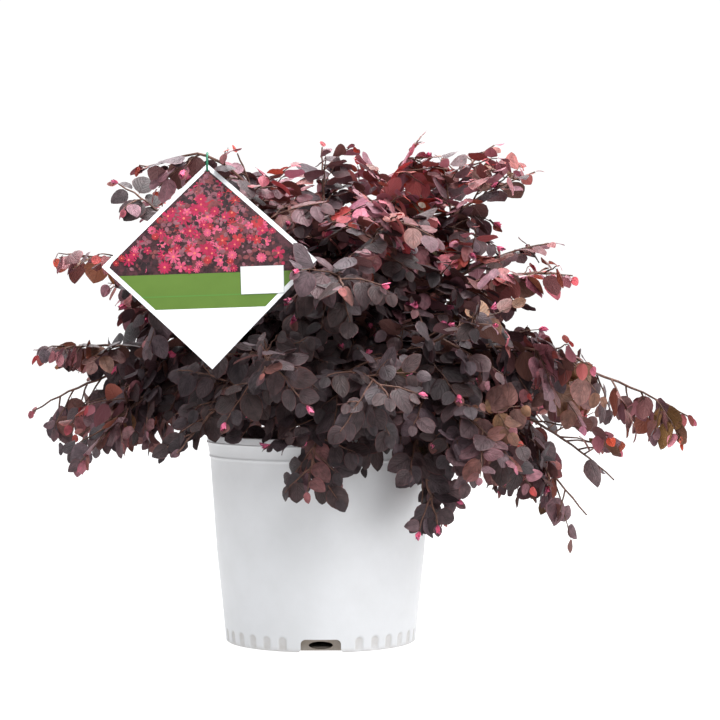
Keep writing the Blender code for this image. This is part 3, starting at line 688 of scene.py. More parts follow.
def makeMix():
    points = [(0, 0, mixHeightAt(0, 0))]
    for ring in range(1, mix["rings"] + 1):
        radius = mixRadius * ring / mix["rings"]
        for step in range(mix["segments"]):
            angle = math.tau * step / mix["segments"]
            x, y = radius * math.cos(angle), radius * math.sin(angle)
            points.append((x, y, mixHeightAt(x, y)))
    count = mix["segments"]
    fans = [(0, 1 + step, 1 + (step + 1) % count) for step in range(count)]
    quads = []
    for ring in range(mix["rings"] - 1):
        for step in range(count):
            near = 1 + ring * count
            after = (step + 1) % count
            quads.append((near + step, near + count + step, near + count + after, near + after))
    last = 1 + (mix["rings"] - 1) * count
    points += [(x * 0.985, y * 0.985, mixTop - 0.045) for x, y, z in points[last:]]
    for step in range(count):
        after = (step + 1) % count
        quads.append((last + step, last + count + step, last + count + after, last + after))
    mesh = meshFromArrays("potting_mix_surface", points, quads, fans)
    crumbs = cloudedMaterial("mix_crumbs", mix["crumbDark"], mix["crumbPale"], 320.0, 0.92, 0.25, 6.0, 0.8, 0.002)
    addPiece("potting_mix_surface", mesh, crumbs, ["potting_mix"])
    rng = random.Random("chips")
    spots = []
    for chip in range(mix["chips"]):
        radius = mixRadius * 0.95 * math.sqrt(rng.uniform(0.04, 1))
        angle = rng.uniform(0, math.tau)
        x, y = radius * math.cos(angle), radius * math.sin(angle)
        length = rng.uniform(*mix["chipLength"])
        size = Vector((length, length * rng.uniform(*mix["chipBroad"]), length * rng.uniform(*mix["chipThick"])))
        turn = Matrix.Rotation(rng.uniform(0, math.tau), 3, "Z") @ Matrix.Rotation(
            rng.uniform(-mix["chipTilt"], mix["chipTilt"]), 3, "X"
        )
        middle = Vector((x, y, mixHeightAt(x, y) + size.z * 0.2))
        spots.append((middle, turn @ Vector((1, 0, 0)), turn @ up, size, rng.randrange(6)))
    bark = cloudedMaterial("chip_bark", mix["chipDark"], mix["chipPale"], 210.0, 0.88, 0.25, 6.0, 0.8, 0.002)
    mesh = strew("bark_chips", spots, chipShapes(), bark)
    mesh.set_sharp_from_angle(angle=math.radians(30))
    addPiece("bark_chips", mesh, bark, ["potting_mix"])
    print("potting mix done")


# Crown plan: for each bough, the furthest tips of the masses that it carries

crown = {
    "left_high": ((-0.251, -0.030, 0.362), (-0.196, -0.020, 0.434), (-0.175, -0.135, 0.335)),
    "left": ((-0.267, -0.050, 0.270), (-0.280, 0.020, 0.213), (-0.223, -0.100, 0.171)),
    "tag": ((-0.166, -0.152, 0.444), (-0.080, -0.060, 0.464)),
    "crest": ((0.001, -0.020, 0.473), (0.020, -0.228, 0.333)),
    "crest_right": ((0.100, 0.030, 0.484), (0.070, -0.170, 0.398)),
    "shoulder": ((0.173, 0.050, 0.476), (0.210, 0.000, 0.446)),
    "right_high": ((0.228, 0.000, 0.377), (0.236, -0.095, 0.344)),
    "right": ((0.252, -0.110, 0.261), (0.355, -0.020, 0.208)),
    "right_low": ((0.252, -0.050, 0.117), (0.292, 0.070, 0.142)),
    "front_right": ((0.107, -0.135, 0.116), (0.176, -0.170, 0.173), (0.155, -0.190, 0.300)),
    "front": ((0.060, -0.240, 0.238), (-0.012, -0.180, 0.150)),
    "front_left": ((-0.050, -0.240, 0.259), (-0.130, -0.170, 0.183)),
    "back_left": ((-0.205, 0.150, 0.330), (-0.235, 0.125, 0.195)),
    "back": ((-0.060, 0.245, 0.345), (-0.105, 0.240, 0.190)),
    "back_right": ((0.095, 0.245, 0.350), (0.050, 0.262, 0.180)),
    "back_far_right": ((0.215, 0.155, 0.340), (0.235, 0.175, 0.190)),
    "back_top": ((-0.095, 0.115, 0.450), (0.110, 0.125, 0.458)),
}
limbs = {
    "trunkTop": 0.242,
    "trunkRadius": 0.0105,
    "trunkLean": 0.005,
    "flareRadius": 0.017,
    "flareHeight": 0.014,
    "forkShare": 0.31,
    "forkHeightShare": 0.28,
    "forkRise": 0.030,
    "forkLowest": 0.250,
    "lowestStart": 0.189,
    "highestStart": 0.234,
    "lowestSteepness": 0.55,
    "highestSteepness": 2.33,
    "startByHeight": 0.95,
    "stagger": 4.5,
    "bend": 0.4,
    "boughRadius": (0.0037, 0.0026),
    "boughRings": 34,
    "boughSides": 14,
    "trunkRings": 60,
    "trunkSides": 40,
    "stemRadius": (0.0022, 0.0007),
    "stemRings": 22,
    "bark": (0.150, 0.080, 0.048),
    "barkDark": (0.050, 0.026, 0.018),
    "barkPale": (0.300, 0.200, 0.140),
}
crownCentre = Vector((0.02, 0, 0.24))
crownSize = Vector((0.30, 0.25, 0.23))


def middleOf(tips):
    return sum((Vector(tip) for tip in tips), Vector()) / len(tips)


def rank(tips, measure):
    return sorted(crown.values(), key=measure).index(tips) / (len(crown) - 1)


def trunkAxis(height):
    share = max(0, (height - mixTop) / (limbs["trunkTop"] - mixTop))
    return Vector((limbs["trunkLean"] * share * share, 0, height))


def boughPath(tips):
    middle = middleOf(tips)
    outward = Vector((middle.x, middle.y, 0)).normalized()
    reach = Vector((middle.x, middle.y, 0)).length * limbs["forkShare"]
    height = limbs["trunkTop"] + (middle.z - limbs["trunkTop"]) * limbs["forkHeightShare"] + limbs["forkRise"]
    fork = outward * reach + up * max(height, limbs["forkLowest"])
    stagger = rank(tips, lambda t: math.atan2(middleOf(t).y, middleOf(t).x)) * limbs["stagger"] % 1
    lift = limbs["startByHeight"] * rank(tips, lambda t: middleOf(t).z) + (1 - limbs["startByHeight"]) * stagger
    height = limbs["lowestStart"] + (limbs["highestStart"] - limbs["lowestStart"]) * lift
    steepness = limbs["lowestSteepness"] + (limbs["highestSteepness"] - limbs["lowestSteepness"]) * lift
    leave = (outward + up * steepness).normalized()
    start = trunkAxis(height) + outward * limbs["trunkRadius"] * 0.6
    arrive = ((middle - fork).normalized() + up * growth["arch"]).normalized()
    bend = (fork - start).length * limbs["bend"]
    return bezier(start, start + leave * bend, fork - arrive * bend, fork, limbs["boughRings"])


def stemPath(path, tip, isTagTwig):
    fork = path[-1]
    arrive = (path[-1] - path[-2]).normalized()
    start = fork - arrive * 0.002
    end = ((Vector(tip) - start).normalized() - up * growth["arch"]).normalized()
    last = Vector(tip) - end * growth["tipLeaf"]
    if isTagTwig:
        hung = tagTwigPoint()
        passBy = ((last - hung).normalized() + (hung - start).normalized()).normalized()
        near, far = (hung - start).length / 3, (last - hung).length / 3
        half = limbs["stemRings"] * 2 // 3
        stem = bezier(start, start + arrive * near, hung - passBy * near, hung, half)
        return stem + bezier(hung, hung + passBy * far, last - end * far, last, limbs["stemRings"] - half)[1:]
    bend = (last - start).length / 3
    return bezier(start, start + arrive * bend, last - end * bend, last, limbs["stemRings"])


# Card tag: a bowed square hung by one corner, with a plain generic print in thin layers

tag = {
    "side": 0.132,
    "thickness": 0.0008,
    "middle": Vector((-0.0966, -0.190, 0.3533)),
    "tilt": math.radians(-16),
    "roll": math.radians(2),
    "bow": 0.006,
    "holeRadius": 0.0028,
    "holeInset": 0.0085,
    "freeCorner": 0.054,
    "border": 0.0040,
    "pictureFoot": -0.0089,
    "bandFoot": -0.0402,
    "stripeFoot": -0.0292,
    "stripeHeight": 0.0010,
    "labelMiddle": (0.0455, -0.0165),
    "labelSize": (0.0375, 0.0250),
    "labelRim": 0.0005,
    "ringHalfHeight": 0.0080,
    "ringHalfDepth": 0.0050,
    "ringWire": 0.0009,
    "flowers": 100,
    "flowerRadius": (0.0034, 0.0068),
    "flowerApart": 0.0048,
    "flowerEdge": 0.0026,
    "sprigs": 620,
    "sprigLength": (0.0030, 0.0065),
    "cardLayer": 0.00008,
    "shapeLayer": 0.00018,
    "nextLayer": 0.000004,
}
printTints = {
    "rose": ((0.35, 0.016, 0.064), (0.25, 0.009, 0.037)),
    "blush": ((0.50, 0.088, 0.158), (0.38, 0.042, 0.093)),
    "coral": ((0.35, 0.025, 0.032), (0.25, 0.014, 0.022)),
}
tagHalf = tag["side"] / math.sqrt(2)
tagTurn = Matrix.Rotation(tag["tilt"], 3, "X") @ Matrix.Rotation(-tag["roll"], 3, "Y")
tagAcross, tagAlong, tagFacing = (tagTurn @ Vector(way) for way in ((1, 0, 0), (0, 0, 1), (0, -1, 0)))


def tagPoint(right, along, out=0.0):
    bulge = tag["bow"] * (1 - (along / tagHalf) ** 2)
    return tag["middle"] + tagAcross * right + tagAlong * along + tagFacing * (out + bulge)


def tagNormal(along):
    return (tagFacing + tagAlong * (2 * tag["bow"] * along / tagHalf**2)).normalized()


def ringMiddle():
    edge = tagPoint(0, tagHalf - tag["holeInset"] + tag["holeRadius"])
    return edge + up * (tag["ringHalfHeight"] - tag["ringWire"] - 0.0003)


def tagTwigPoint():
    twig = sum(limbs["stemRadius"]) / 2
    return ringMiddle() + up * (tag["ringHalfHeight"] - tag["ringWire"] - 0.0003 - twig)


def cardMaterial(name, first, second=None, scale=60.0, roughness=0.45):
    second = second or tuple(c * 0.95 for c in first)
    return cloudedMaterial(name, first, second, scale, roughness, 0.18, bump=0.06, depth=0.0003)


def printRows(name, low, high, material, lift, halfWidthAt, middle=0.0, rows=24, columns=24):
    # a thin printed area between two heights on the card, as wide as halfWidthAt says
    points = []
    for row in range(rows + 1):
        along = low + (high - low) * row / rows
        half = halfWidthAt(along)
        for column in range(columns + 1):
            right = middle + half * (2 * column / columns - 1)
            points.append(tagPoint(right, along, tag["thickness"] / 2 + lift))
    quads = []
    for row in range(rows):
        for column in range(columns):
            corner = row * (columns + 1) + column
            quads.append((corner, corner + 1, corner + columns + 2, corner + columns + 1))
    addPiece(name, meshFromArrays(name, points, quads), material, ["tag"])


def insideBorder(along):
    return max(0.0002, tagHalf - tag["border"] * math.sqrt(2) - abs(along))


def makeCard():
    count = 60
    body = bmesh.new()
    grid = {}
    for i in range(count + 1):
        for j in range(count + 1):
            a = tag["side"] * (i / count - 0.5)
            b = tag["side"] * (j / count - 0.5)
            right, along = (a - b) / math.sqrt(2), (a + b) / math.sqrt(2)
            grid[i, j] = body.verts.new(tagPoint(right, along, 0))
    hole = (0, tagHalf - tag["holeInset"])
    for i in range(count):
        for j in range(count):
            a = tag["side"] * ((i + 0.5) / count - 0.5)
            b = tag["side"] * ((j + 0.5) / count - 0.5)
            middle = ((a - b) / math.sqrt(2), (a + b) / math.sqrt(2))
            if math.hypot(middle[0] - hole[0], middle[1] - hole[1]) < tag["holeRadius"]:
                continue
            body.faces.new((grid[i, j], grid[i + 1, j], grid[i + 1, j + 1], grid[i, j + 1]))
    for point in [v for v in body.verts if not v.link_faces]:
        body.verts.remove(point)
    near = tagPoint(*hole)
    for edge in [e for e in body.edges if len(e.link_faces) == 1]:
        for point in edge.verts:
            offset = point.co - near
            if offset.length < tag["holeRadius"] * 2:
                point.co = near + offset.normalized() * tag["holeRadius"]
    mesh = bpy.data.meshes.new("hang_card")
    bmesh.ops.recalc_face_normals(body, faces=body.faces)
    body.to_mesh(mesh)
    body.free()
    white = cardMaterial("card_white", (0.74, 0.75, 0.77))
    piece = addPiece("hang_card", mesh, white, ["tag"])
    solid = piece.modifiers.new("thickness", "SOLIDIFY")
    solid.thickness = tag["thickness"]
    solid.offset = 0
    bpy.context.view_layer.update()
    evaluated = piece.evaluated_get(bpy.context.evaluated_depsgraph_get())
    mesh = bpy.data.meshes.new_from_object(evaluated)
    piece.modifiers.clear()
    piece.data = mesh
    mesh.shade_smooth()
    mesh.set_sharp_from_angle(angle=math.radians(40))


def petalShape(petals, rows, depth=0.0):
    # flat petals round a middle, one unit in radius; rows: (along, half width)
    points = []
    quads = []
    for petal in range(petals):
        angle = math.tau * petal / petals
        first = len(points)
        for along, half in rows:
            for side in (-1, 1):
                x = along * math.cos(angle) - side * half * math.sin(angle)
                y = along * math.sin(angle) + side * half * math.cos(angle)
                points.append((x, y, depth * petal))
        for row in range(len(rows) - 1):
            near = first + row * 2
            quads.append((near, near + 2, near + 3, near + 1))
    return meshFromArrays("petals", points, quads)


def makePrint():
    picture = cardMaterial("print_ground", (0.012, 0.005, 0.006), (0.068, 0.020, 0.027), 260.0)
    top = tagHalf - tag["border"] * math.sqrt(2) - 0.0004
    printRows("print_picture", tag["pictureFoot"], top, picture, tag["cardLayer"], insideBorder)
    green = cardMaterial("print_green", (0.080, 0.144, 0.022), (0.090, 0.158, 0.026), 24.0)
    printRows("print_band", tag["bandFoot"], tag["pictureFoot"], green, tag["cardLayer"], insideBorder, rows=10)
    dark = cardMaterial("print_dark_green", (0.075, 0.190, 0.036))
    low = tag["stripeFoot"]
    printRows("print_stripe", low, low + tag["stripeHeight"], dark, tag["cardLayer"] * 2, insideBorder, rows=1)
    width, height = tag["labelSize"]
    middle = tag["labelMiddle"]
    rim = cardMaterial("print_label_rim", (0.42, 0.43, 0.43))
    white = cardMaterial("print_label", (0.76, 0.77, 0.78))
    labels = (("print_label_rim", rim, 0.0, 7), ("print_label", white, tag["labelRim"], 8))
    for name, material, inset, layer in labels:
        low, high = middle[1] - height / 2 + inset, middle[1] + height / 2 - inset
        lift = tag["cardLayer"] * layer
        printRows(name, low, high, material, lift, lambda along: width / 2 - inset, middle[0], 6, 6)
    rng = random.Random("print")

    def spread(margin):
        while True:
            along = rng.uniform(tag["pictureFoot"] + margin, top - margin)
            half = insideBorder(along) - margin * 1.5
            if half > 0:
                return rng.uniform(-half, half), along

    def spot(place, radius, turn, lift, shape):
        normal = tagNormal(place[1])
        ahead = tagAcross * math.cos(turn) + normal.cross(tagAcross) * math.sin(turn)
        return tagPoint(*place, tag["thickness"] / 2 + lift), ahead, normal, (radius, radius, radius), shape

    leafRows = ((0.05, 0.05), (0.35, 0.30), (0.70, 0.30), (1.0, 0.03))
    sprigs = []
    for number in range(tag["sprigs"]):
        size = rng.uniform(*tag["sprigLength"])
        place = spread(size)
        lift = tag["cardLayer"] * 2 + tag["nextLayer"] * 0.2 * number
        sprigs.append((rng.randrange(3), spot(place, size, rng.uniform(0, math.tau), lift, rng.randrange(2))))
    leafTints = (
        ("print_leaves", (0.110, 0.034, 0.048), (0.230, 0.090, 0.110)),
        ("print_shade", (0.012, 0.006, 0.008), (0.040, 0.016, 0.020)),
        ("print_stems", (0.090, 0.020, 0.026), (0.190, 0.050, 0.052)),
    )
    for number, (name, first, second) in enumerate(leafTints):
        material = cardMaterial(name, first, second, 160.0)
        chosen = [entry for kind, entry in sprigs if kind == number]
        mesh = strew(name, chosen, [petalShape(1, leafRows), petalShape(3, leafRows)], material)
        addPiece(name, mesh, material, ["tag"])
    broadRows = ((0.05, 0.05), (0.40, 0.25), (0.78, 0.33), (0.95, 0.20), (1.0, 0.04))
    narrowRows = ((0.05, 0.05), (0.45, 0.13), (0.80, 0.16), (1.0, 0.03))
    flowers = []
    hearts = []
    taken = []
    while len(taken) < tag["flowers"]:
        place = spread(tag["flowerEdge"])
        if any(math.dist(place, other) < tag["flowerApart"] for other in taken):
            if rng.random() < 0.995:
                continue
        taken.append(place)
        lift = tag["shapeLayer"] + tag["cardLayer"] * 2 + tag["nextLayer"] * len(taken)
        toLabel = max(middle[0] - width / 2 - place[0], place[1] - middle[1] - height / 2)
        toEdge = min((insideBorder(place[1]) - abs(place[0])) / math.sqrt(2), place[1] - tag["pictureFoot"])
        radius = min(rng.uniform(*tag["flowerRadius"]), toEdge, toLabel)
        if radius < tag["flowerEdge"] / 2:
            continue
        turn = rng.uniform(0, math.tau)
        tint = rng.choices(list(printTints), (5, 4, 3))[0]
        flowers.append((tint, spot(place, radius, turn, lift, rng.randrange(3))))
        hearts.append(spot(place, radius * 0.17, turn, lift + tag["nextLayer"], 0))
    for name, (first, second) in printTints.items():
        material = cardMaterial("print_" + name, first, second, 170.0)
        chosen = [entry for kind, entry in flowers if kind == name]
        shapes = [petalShape(5, broadRows, 2e-5), petalShape(9, narrowRows, 2e-5), petalShape(12, narrowRows, 2e-5)]
        mesh = strew("print_" + name, chosen, shapes, material)
        addPiece("print_" + name, mesh, material, ["tag"])
    heart = cardMaterial("print_hearts", (0.62, 0.16, 0.10))
    mesh = strew("print_hearts", hearts, [petalShape(6, ((0.0, 0.02), (0.6, 0.45), (1.0, 0.2)))], heart)
    addPiece("print_hearts", mesh, heart, ["tag"])


def makeRing():
    middle = ringMiddle()
    count = 48
    turns = [math.tau * step / count for step in range(count + 1)]
    path = [
        middle + Vector((0, tag["ringHalfDepth"] * math.cos(turn), tag["ringHalfHeight"] * math.sin(turn)))
        for turn in turns
    ]
    green = cloudedMaterial("ring_green_plastic", (0.008, 0.13, 0.07), (0.012, 0.19, 0.10), 300.0, 0.35)
    mesh = tubes("hang_ring", [(path, [tag["ringWire"]] * len(path))], green, 12)
    addPiece("hang_ring", mesh, green, ["tag_hook"])


def makeTag():
    makeCard()
    makePrint()
    makeRing()
    print("tag done")


# Trunk and boughs with bark relief

def barkMaterial():
    made, nodes, links, shader = newMaterial("bark", 0.78, 0.3)
    place = nodes.new("ShaderNodeTexCoord")
    squeeze = nodes.new("ShaderNodeMapping")
    squeeze.inputs["Scale"].default_value = (1, 1, 0.28)
    links.new(place.outputs["Object"], squeeze.inputs["Vector"])
    fibres = placeGroup(
        nodes, cloudGroup, Scale=420.0, Detail=6.0, Low=0.30, High=0.58, Dark=limbs["barkDark"], Pale=limbs["bark"]
    )
    crests = placeGroup(nodes, cloudGroup, Scale=260.0, Detail=5.0, Low=0.5, High=0.72)
    links.new(squeeze.outputs[0], fibres.inputs["Vector"])
    links.new(squeeze.outputs[0], crests.inputs["Vector"])
    pale = rangeNode(nodes, links, crests.outputs["Height"], 0.54, 0.72)
    colour = mixColours(nodes, links, pale, fibres.outputs["Colour"], limbs["barkPale"])
    links.new(colour, shader.inputs["Base Color"])
    addBump(nodes, links, shader, fibres.outputs["Height"], 0.6, 0.0008)
    return made


def trunkPath():
    rows = limbs["trunkRings"]
    foot = mixTop - 0.004
    path = []
    radii = []
    for row in range(rows):
        height = foot + (limbs["trunkTop"] - foot) * row / (rows - 1)
        flare = max(0, 1 - max(0, (height - mixTop) / limbs["flareHeight"]))
        radius = limbs["trunkRadius"] * (1 + 0.62 * flare**1.6)
        radius *= min(1, 0.45 + (limbs["trunkTop"] - height) / 0.012)
        path.append(trunkAxis(height))
        radii.append(radius)
    return path, radii


def makeLimbs(paths):
    bark = barkMaterial()
    mesh = tubes("trunk_bark", [trunkPath()], bark, limbs["trunkSides"], 0.55, (170, 170, 55))
    addPiece("trunk_bark", mesh, bark, ["trunk"])
    boughs = [(path, taper(*limbs["boughRadius"], len(path))) for path in paths.values()]
    mesh = tubes("boughs_bark", boughs, bark, limbs["boughSides"], 0.5, (420, 420, 260))
    addPiece("boughs_bark", mesh, bark, cadNodes("bough_"))
    print("trunk and boughs done")


# Growth: stems, side twigs and finer twigs in turn, leaves left and right along each

growth = {
    "seed": 96,
    "crossing": 2,
    "arch": 0.35,
    "tipLeaf": 0.007,
    "topReach": 0.15,
    "reachSlack": 0.006,
    "ceilingSlack": 0.009,
    "sideEvery": 0.0144,
    "fewestSides": 8,
    "firstSide": 0.02,
    "lastSide": 0.88,
    "baseCrowding": 1.20,
    "boughShare": 0.55,
    "lowCrowding": 0.85,
    "highCrowding": 0.35,
    "airy": ("left_high", "right_high", "tag_1"),
    "airyShare": 0.55,
    "sideTurn": math.radians(137.5),
    "sideFlatten": 0.75,
    "sideLength": (0.073, 0.102),
    "sideShortening": 0.52,
    "fineSpacing": 0.018,
    "fineLength": 0.42,
    "sag": 0.16,
    "twigRadius": (0.0010, 0.00045),
    "fineRadius": (0.0007, 0.00035),
    "zigzag": 0.0006,
    "sprayUp": 0.8,
    "sprayOut": 0.9,
    "sprayRoll": (0.15, 0.90),
    "farRoll": 0.35,
    "leafSpacing": 0.0104,
    "leafLength": (0.0230, 0.0335),
    "leafBroad": (0.60, 0.82),
    "leafSkyward": 0.40,
    "topSkyward": 0.45,
    "farSkyward": -0.20,
    "leafOutward": 0.35,
    "leafTilt": 0.46,
    "droop": (0.0, 1.2),
    "farDroop": 0.0,
    "retryDroop": (0.0, 0.45, -0.70),
    "ownTint": 0.40,
    "rosetteTurn": math.radians(137.5),
    "rosetteLength": (0.0055, 0.0105),
    "rosetteBroad": (0.42, 0.62),
}
endings = {
    "plain": {"sizes": (0.50, 0.66, 0.82, 0.93), "rosette": 0},
    "shoot": {"sizes": (0.36, 0.48, 0.68, 0.88), "rosette": 0},
    "bud": {"sizes": (0.40, 0.64, 0.84), "rosette": 9},
}
endingTints = {"plain": (), "shoot": ("red", "rose", "rose"), "bud": ("rose",)}
endingShares = {"stem": (0.1, 0.75, 0.15), "side": (0.52, 0.34, 0.14), "fine": (0.79, 0.13, 0.08)}
tints = {
    "dark": (0.034, 0.021, 0.022),
    "plum": (0.044, 0.027, 0.029),
    "mauve": (0.075, 0.046, 0.051),
    "maroon": (0.118, 0.051, 0.051),
    "brown": (0.150, 0.076, 0.053),
    "bronze": (0.066, 0.047, 0.026),
    "rose": (0.215, 0.082, 0.085),
    "red": (0.280, 0.064, 0.074),
    "crimson": (0.370, 0.046, 0.080),
}
older = {"mauve": "plum", "maroon": "plum", "brown": "maroon", "rose": "maroon", "red": "rose"}


def outwardAt(point):
    offset = point - crownCentre
    return Vector([offset[i] / crownSize[i] ** 2 for i in range(3)]).normalized()


# What the photograph shows open, as corners (across, height) on the upright plane through the trunk
openings = {
    "aboveTag": (
        (-0.22, 0.52), (-0.22, 0.437), (-0.198, 0.438), (-0.184, 0.441), (-0.162, 0.4565), (-0.125, 0.4575),
        (-0.103, 0.46), (-0.1, 0.472), (-0.076, 0.472), (-0.075, 0.52),
    ),
    "aboveGap": (
        (-0.075, 0.52), (-0.075, 0.47), (-0.081, 0.463), (-0.079, 0.445), (-0.068, 0.441), (-0.062, 0.453),
        (-0.034, 0.452), (-0.03, 0.4575), (-0.01, 0.4575), (-0.004, 0.465), (0.002, 0.478), (0.03, 0.48),
        (0.03, 0.52),
    ),
    "aboveCrest": (
        (0.03, 0.52), (0.03, 0.48), (0.037, 0.474), (0.041, 0.459), (0.058, 0.455), (0.064, 0.452),
        (0.075, 0.453), (0.08, 0.463), (0.088, 0.469), (0.091, 0.488), (0.113, 0.488), (0.113, 0.52),
    ),
    "aboveShoulder": (
        (0.113, 0.52), (0.113, 0.48), (0.126, 0.482), (0.164, 0.482), (0.18, 0.469), (0.196, 0.452),
        (0.245, 0.452), (0.245, 0.52),
    ),
    "underShoulder": (
        (0.147, 0.4215), (0.16, 0.422), (0.176, 0.4215), (0.194, 0.426), (0.2, 0.437), (0.245, 0.437),
        (0.245, 0.385), (0.221, 0.3825), (0.202, 0.387), (0.184, 0.388), (0.182, 0.3975), (0.164, 0.404),
        (0.15, 0.4005),
    ),
    "besideRight": (
        (0.178, 0.297), (0.18, 0.311), (0.2, 0.31), (0.215, 0.319), (0.246, 0.325), (0.246, 0.3), (0.21, 0.302),
    ),
    "overRightArm": (
        (0.228, 0.31), (0.23, 0.291), (0.245, 0.284), (0.258, 0.273), (0.264, 0.252), (0.272, 0.233),
        (0.282, 0.229), (0.305, 0.229), (0.322, 0.223), (0.345, 0.212), (0.364, 0.206), (0.364, 0.31),
    ),
    "underRightArm": (
        (0.196, 0.202), (0.212, 0.22), (0.216, 0.205), (0.22, 0.199), (0.235, 0.199), (0.241, 0.206),
        (0.247, 0.205), (0.251, 0.19), (0.269, 0.173), (0.303, 0.167), (0.36, 0.182), (0.36, 0.114),
        (0.287, 0.114), (0.282, 0.157), (0.262, 0.167), (0.248, 0.1675), (0.226, 0.173), (0.217, 0.19),
    ),
    "underRight": (
        (0.138, 0.116), (0.147, 0.136), (0.166, 0.14), (0.174, 0.121), (0.208, 0.12), (0.213, 0.106),
        (0.231, 0.103), (0.236, 0.08), (0.138, 0.08),
    ),
    "rightNotch": (
        (0.228, 0.151), (0.258, 0.151), (0.26, 0.136), (0.27, 0.136), (0.271, 0.155), (0.29, 0.155),
        (0.29, 0.105), (0.246, 0.105), (0.232, 0.128), (0.224, 0.14),
    ),
    "potFront": (
        (0.026, 0.141), (0.04, 0.152), (0.056, 0.154), (0.074, 0.143), (0.094, 0.138), (0.097, 0.114),
        (0.026, 0.112),
    ),
    "underFront": (
        (-0.05, 0.1265), (-0.004, 0.1265), (0.026, 0.118), (0.045, 0.092), (0.112, 0.0925), (0.118, 0.1),
        (0.14, 0.1), (0.14, 0.06), (-0.05, 0.06),
    ),
    "potRim": (
        (-0.122, 0.174), (-0.111, 0.1805), (-0.05, 0.1805), (-0.012, 0.1805), (-0.014, 0.174), (-0.04, 0.172),
        (-0.046, 0.166), (-0.05, 0.091), (-0.122, 0.091),
    ),
    "underLeftArm": (
        (-0.289, 0.1), (-0.289, 0.203), (-0.263, 0.203), (-0.256, 0.189), (-0.246, 0.175), (-0.243, 0.155),
        (-0.222, 0.153), (-0.216, 0.18), (-0.205, 0.177), (-0.195, 0.168), (-0.184, 0.164), (-0.154, 0.165),
        (-0.141, 0.172), (-0.128, 0.181), (-0.122, 0.175), (-0.122, 0.1),
    ),
    "leftNotch": (
        (-0.289, 0.262), (-0.272, 0.259), (-0.245, 0.2555), (-0.219, 0.244), (-0.206, 0.242), (-0.198, 0.237),
        (-0.215, 0.23), (-0.24, 0.219), (-0.262, 0.209), (-0.275, 0.221), (-0.289, 0.226),
    ),
    "overLeftHigh": (
        (-0.285, 0.44), (-0.206, 0.44), (-0.196, 0.4), (-0.187, 0.38), (-0.206, 0.3665), (-0.285, 0.368),
    ),
    "overLeftArm": (
        (-0.285, 0.323), (-0.222, 0.323), (-0.222, 0.316), (-0.202, 0.316), (-0.202, 0.33), (-0.191, 0.33),
        (-0.192, 0.32), (-0.203, 0.306), (-0.213, 0.292), (-0.226, 0.2855), (-0.253, 0.2795), (-0.285, 0.274),
    ),
}


def isOpen(point):
    # whether the camera looks through an opening there; what the pot hides doesn't count
    away, eye = -view["place"][1], view["place"][2]
    share = away / (away + point.y)
    x, z = point.x * share, eye + (point.z - eye) * share
    if point.y > 0 and abs(x) < lipRadius and z < potHeight:
        return False
    for corners in openings.values():
        inside = False
        for (x1, z1), (x2, z2) in zip(corners, corners[1:] + corners[:1]):
            if (z1 > z) != (z2 > z) and x < x1 + (x2 - x1) * (z - z1) / (z2 - z1):
                inside = not inside
        if inside:
            return True
    return False


def isFree(points, reach, ceiling, crossing=0):
    # inside the mass's reach, and clear of the pot, the ground, the card and, past the first points, the openings
    for number, point in enumerate(points):
        radius = math.hypot(point.x, point.y)
        if radius > reach or point.z > ceiling or point.z < 0.01:
            return False
        if point.z < potHeight + 0.002 and radius < lipRadius + 0.002:
            return False
        if number >= crossing and isOpen(point):
            return False
        offset = point - tag["middle"]
        right, along, out = offset.dot(tagAcross), offset.dot(tagAlong), offset.dot(tagFacing)
        if abs(right) + abs(along) < tagHalf + 0.002:
            bulge = tag["bow"] * (1 - (along / tagHalf) ** 2)
            if abs(out - bulge) < 0.003 or (out > bulge and right < tag["freeCorner"]):
                return False
    return True


def curveTwig(rng, root, towards, length, count):
    sideways = Vector([rng.uniform(-1, 1) for _ in range(3)]) * 0.10
    path = []
    for step in range(count):
        share = step / (count - 1)
        bend = (sideways - up * growth["sag"]) * share * share
        path.append(root + (towards * share + bend) * length)
    return path


def sprayFacing(path, rng):
    # leaves and finer twigs of one twig lie in a plane along it, rolled out of the level
    middle, direction = spotOn(path, lengthOf(path) / 2)
    side = direction.cross(up * growth["sprayUp"] + outwardAt(middle) * growth["sprayOut"]).normalized()
    roll = rng.uniform(*growth["sprayRoll"]) + growth["farRoll"] * shownAt(middle)[1]
    return Quaternion(direction, roll * rng.choice((-1, 1))) @ side.cross(direction)


def zigzag(path, facing, rng):
    directions = tangents(path)
    bent = [path[0]]
    for index in range(1, len(path)):
        side = directions[index].cross(facing).normalized()
        bent.append(path[index] + side * growth["zigzag"] * (1 if index % 2 else -1) * rng.uniform(0.5, 1.2))
    return bent


def shownAt(place):
    # 0 low and deep inside, 1 high up or far out, where the young shades are; the tints dealt by it also carry painted
    # shade inside and painted light up high and far out
    lifted = min(1, max(0, (place.z + 0.12 * place.x - 0.33) / 0.11))
    far = min(1, max(0, (math.hypot(place.x, place.y * 0.6) - 0.15) / 0.08))
    return lifted, far, max(lifted, far)


def pickTint(rng, place):
    lifted, far, shown = shownAt(place)
    right = place.x / crownSize.x
    # dark and plum weighted low and deep inside: older leaves there with painted shade on top; rose, red, maroon and
    # brown weighted high and far out: young leaves there with painted backlight on top
    weights = {
        "dark": 0.02 + (1.9 - 1.0 * lifted) * (1 - shown),
        "plum": 0.10 + 0.20 * far + 1.8 * (1 - shown),
        "mauve": 0.44 + lifted * (0.6 - 1.2 * max(0, right)) + 0.5 * far,
        "maroon": 0.06 + 0.50 * far + 0.80 * lifted,
        "brown": 0.04 + 0.60 * far + 0.20 * lifted,
        "bronze": max(0.02, 0.40 * right * (1 - lifted)),
        "rose": 0.01 + lifted * (0.90 + 2.4 * max(0, right)) + 0.08 * far,
        "red": 0.01 + lifted * (0.2 + 1.5 * max(0, right)),
    }
    return rng.choices(list(weights), list(weights.values()))[0]


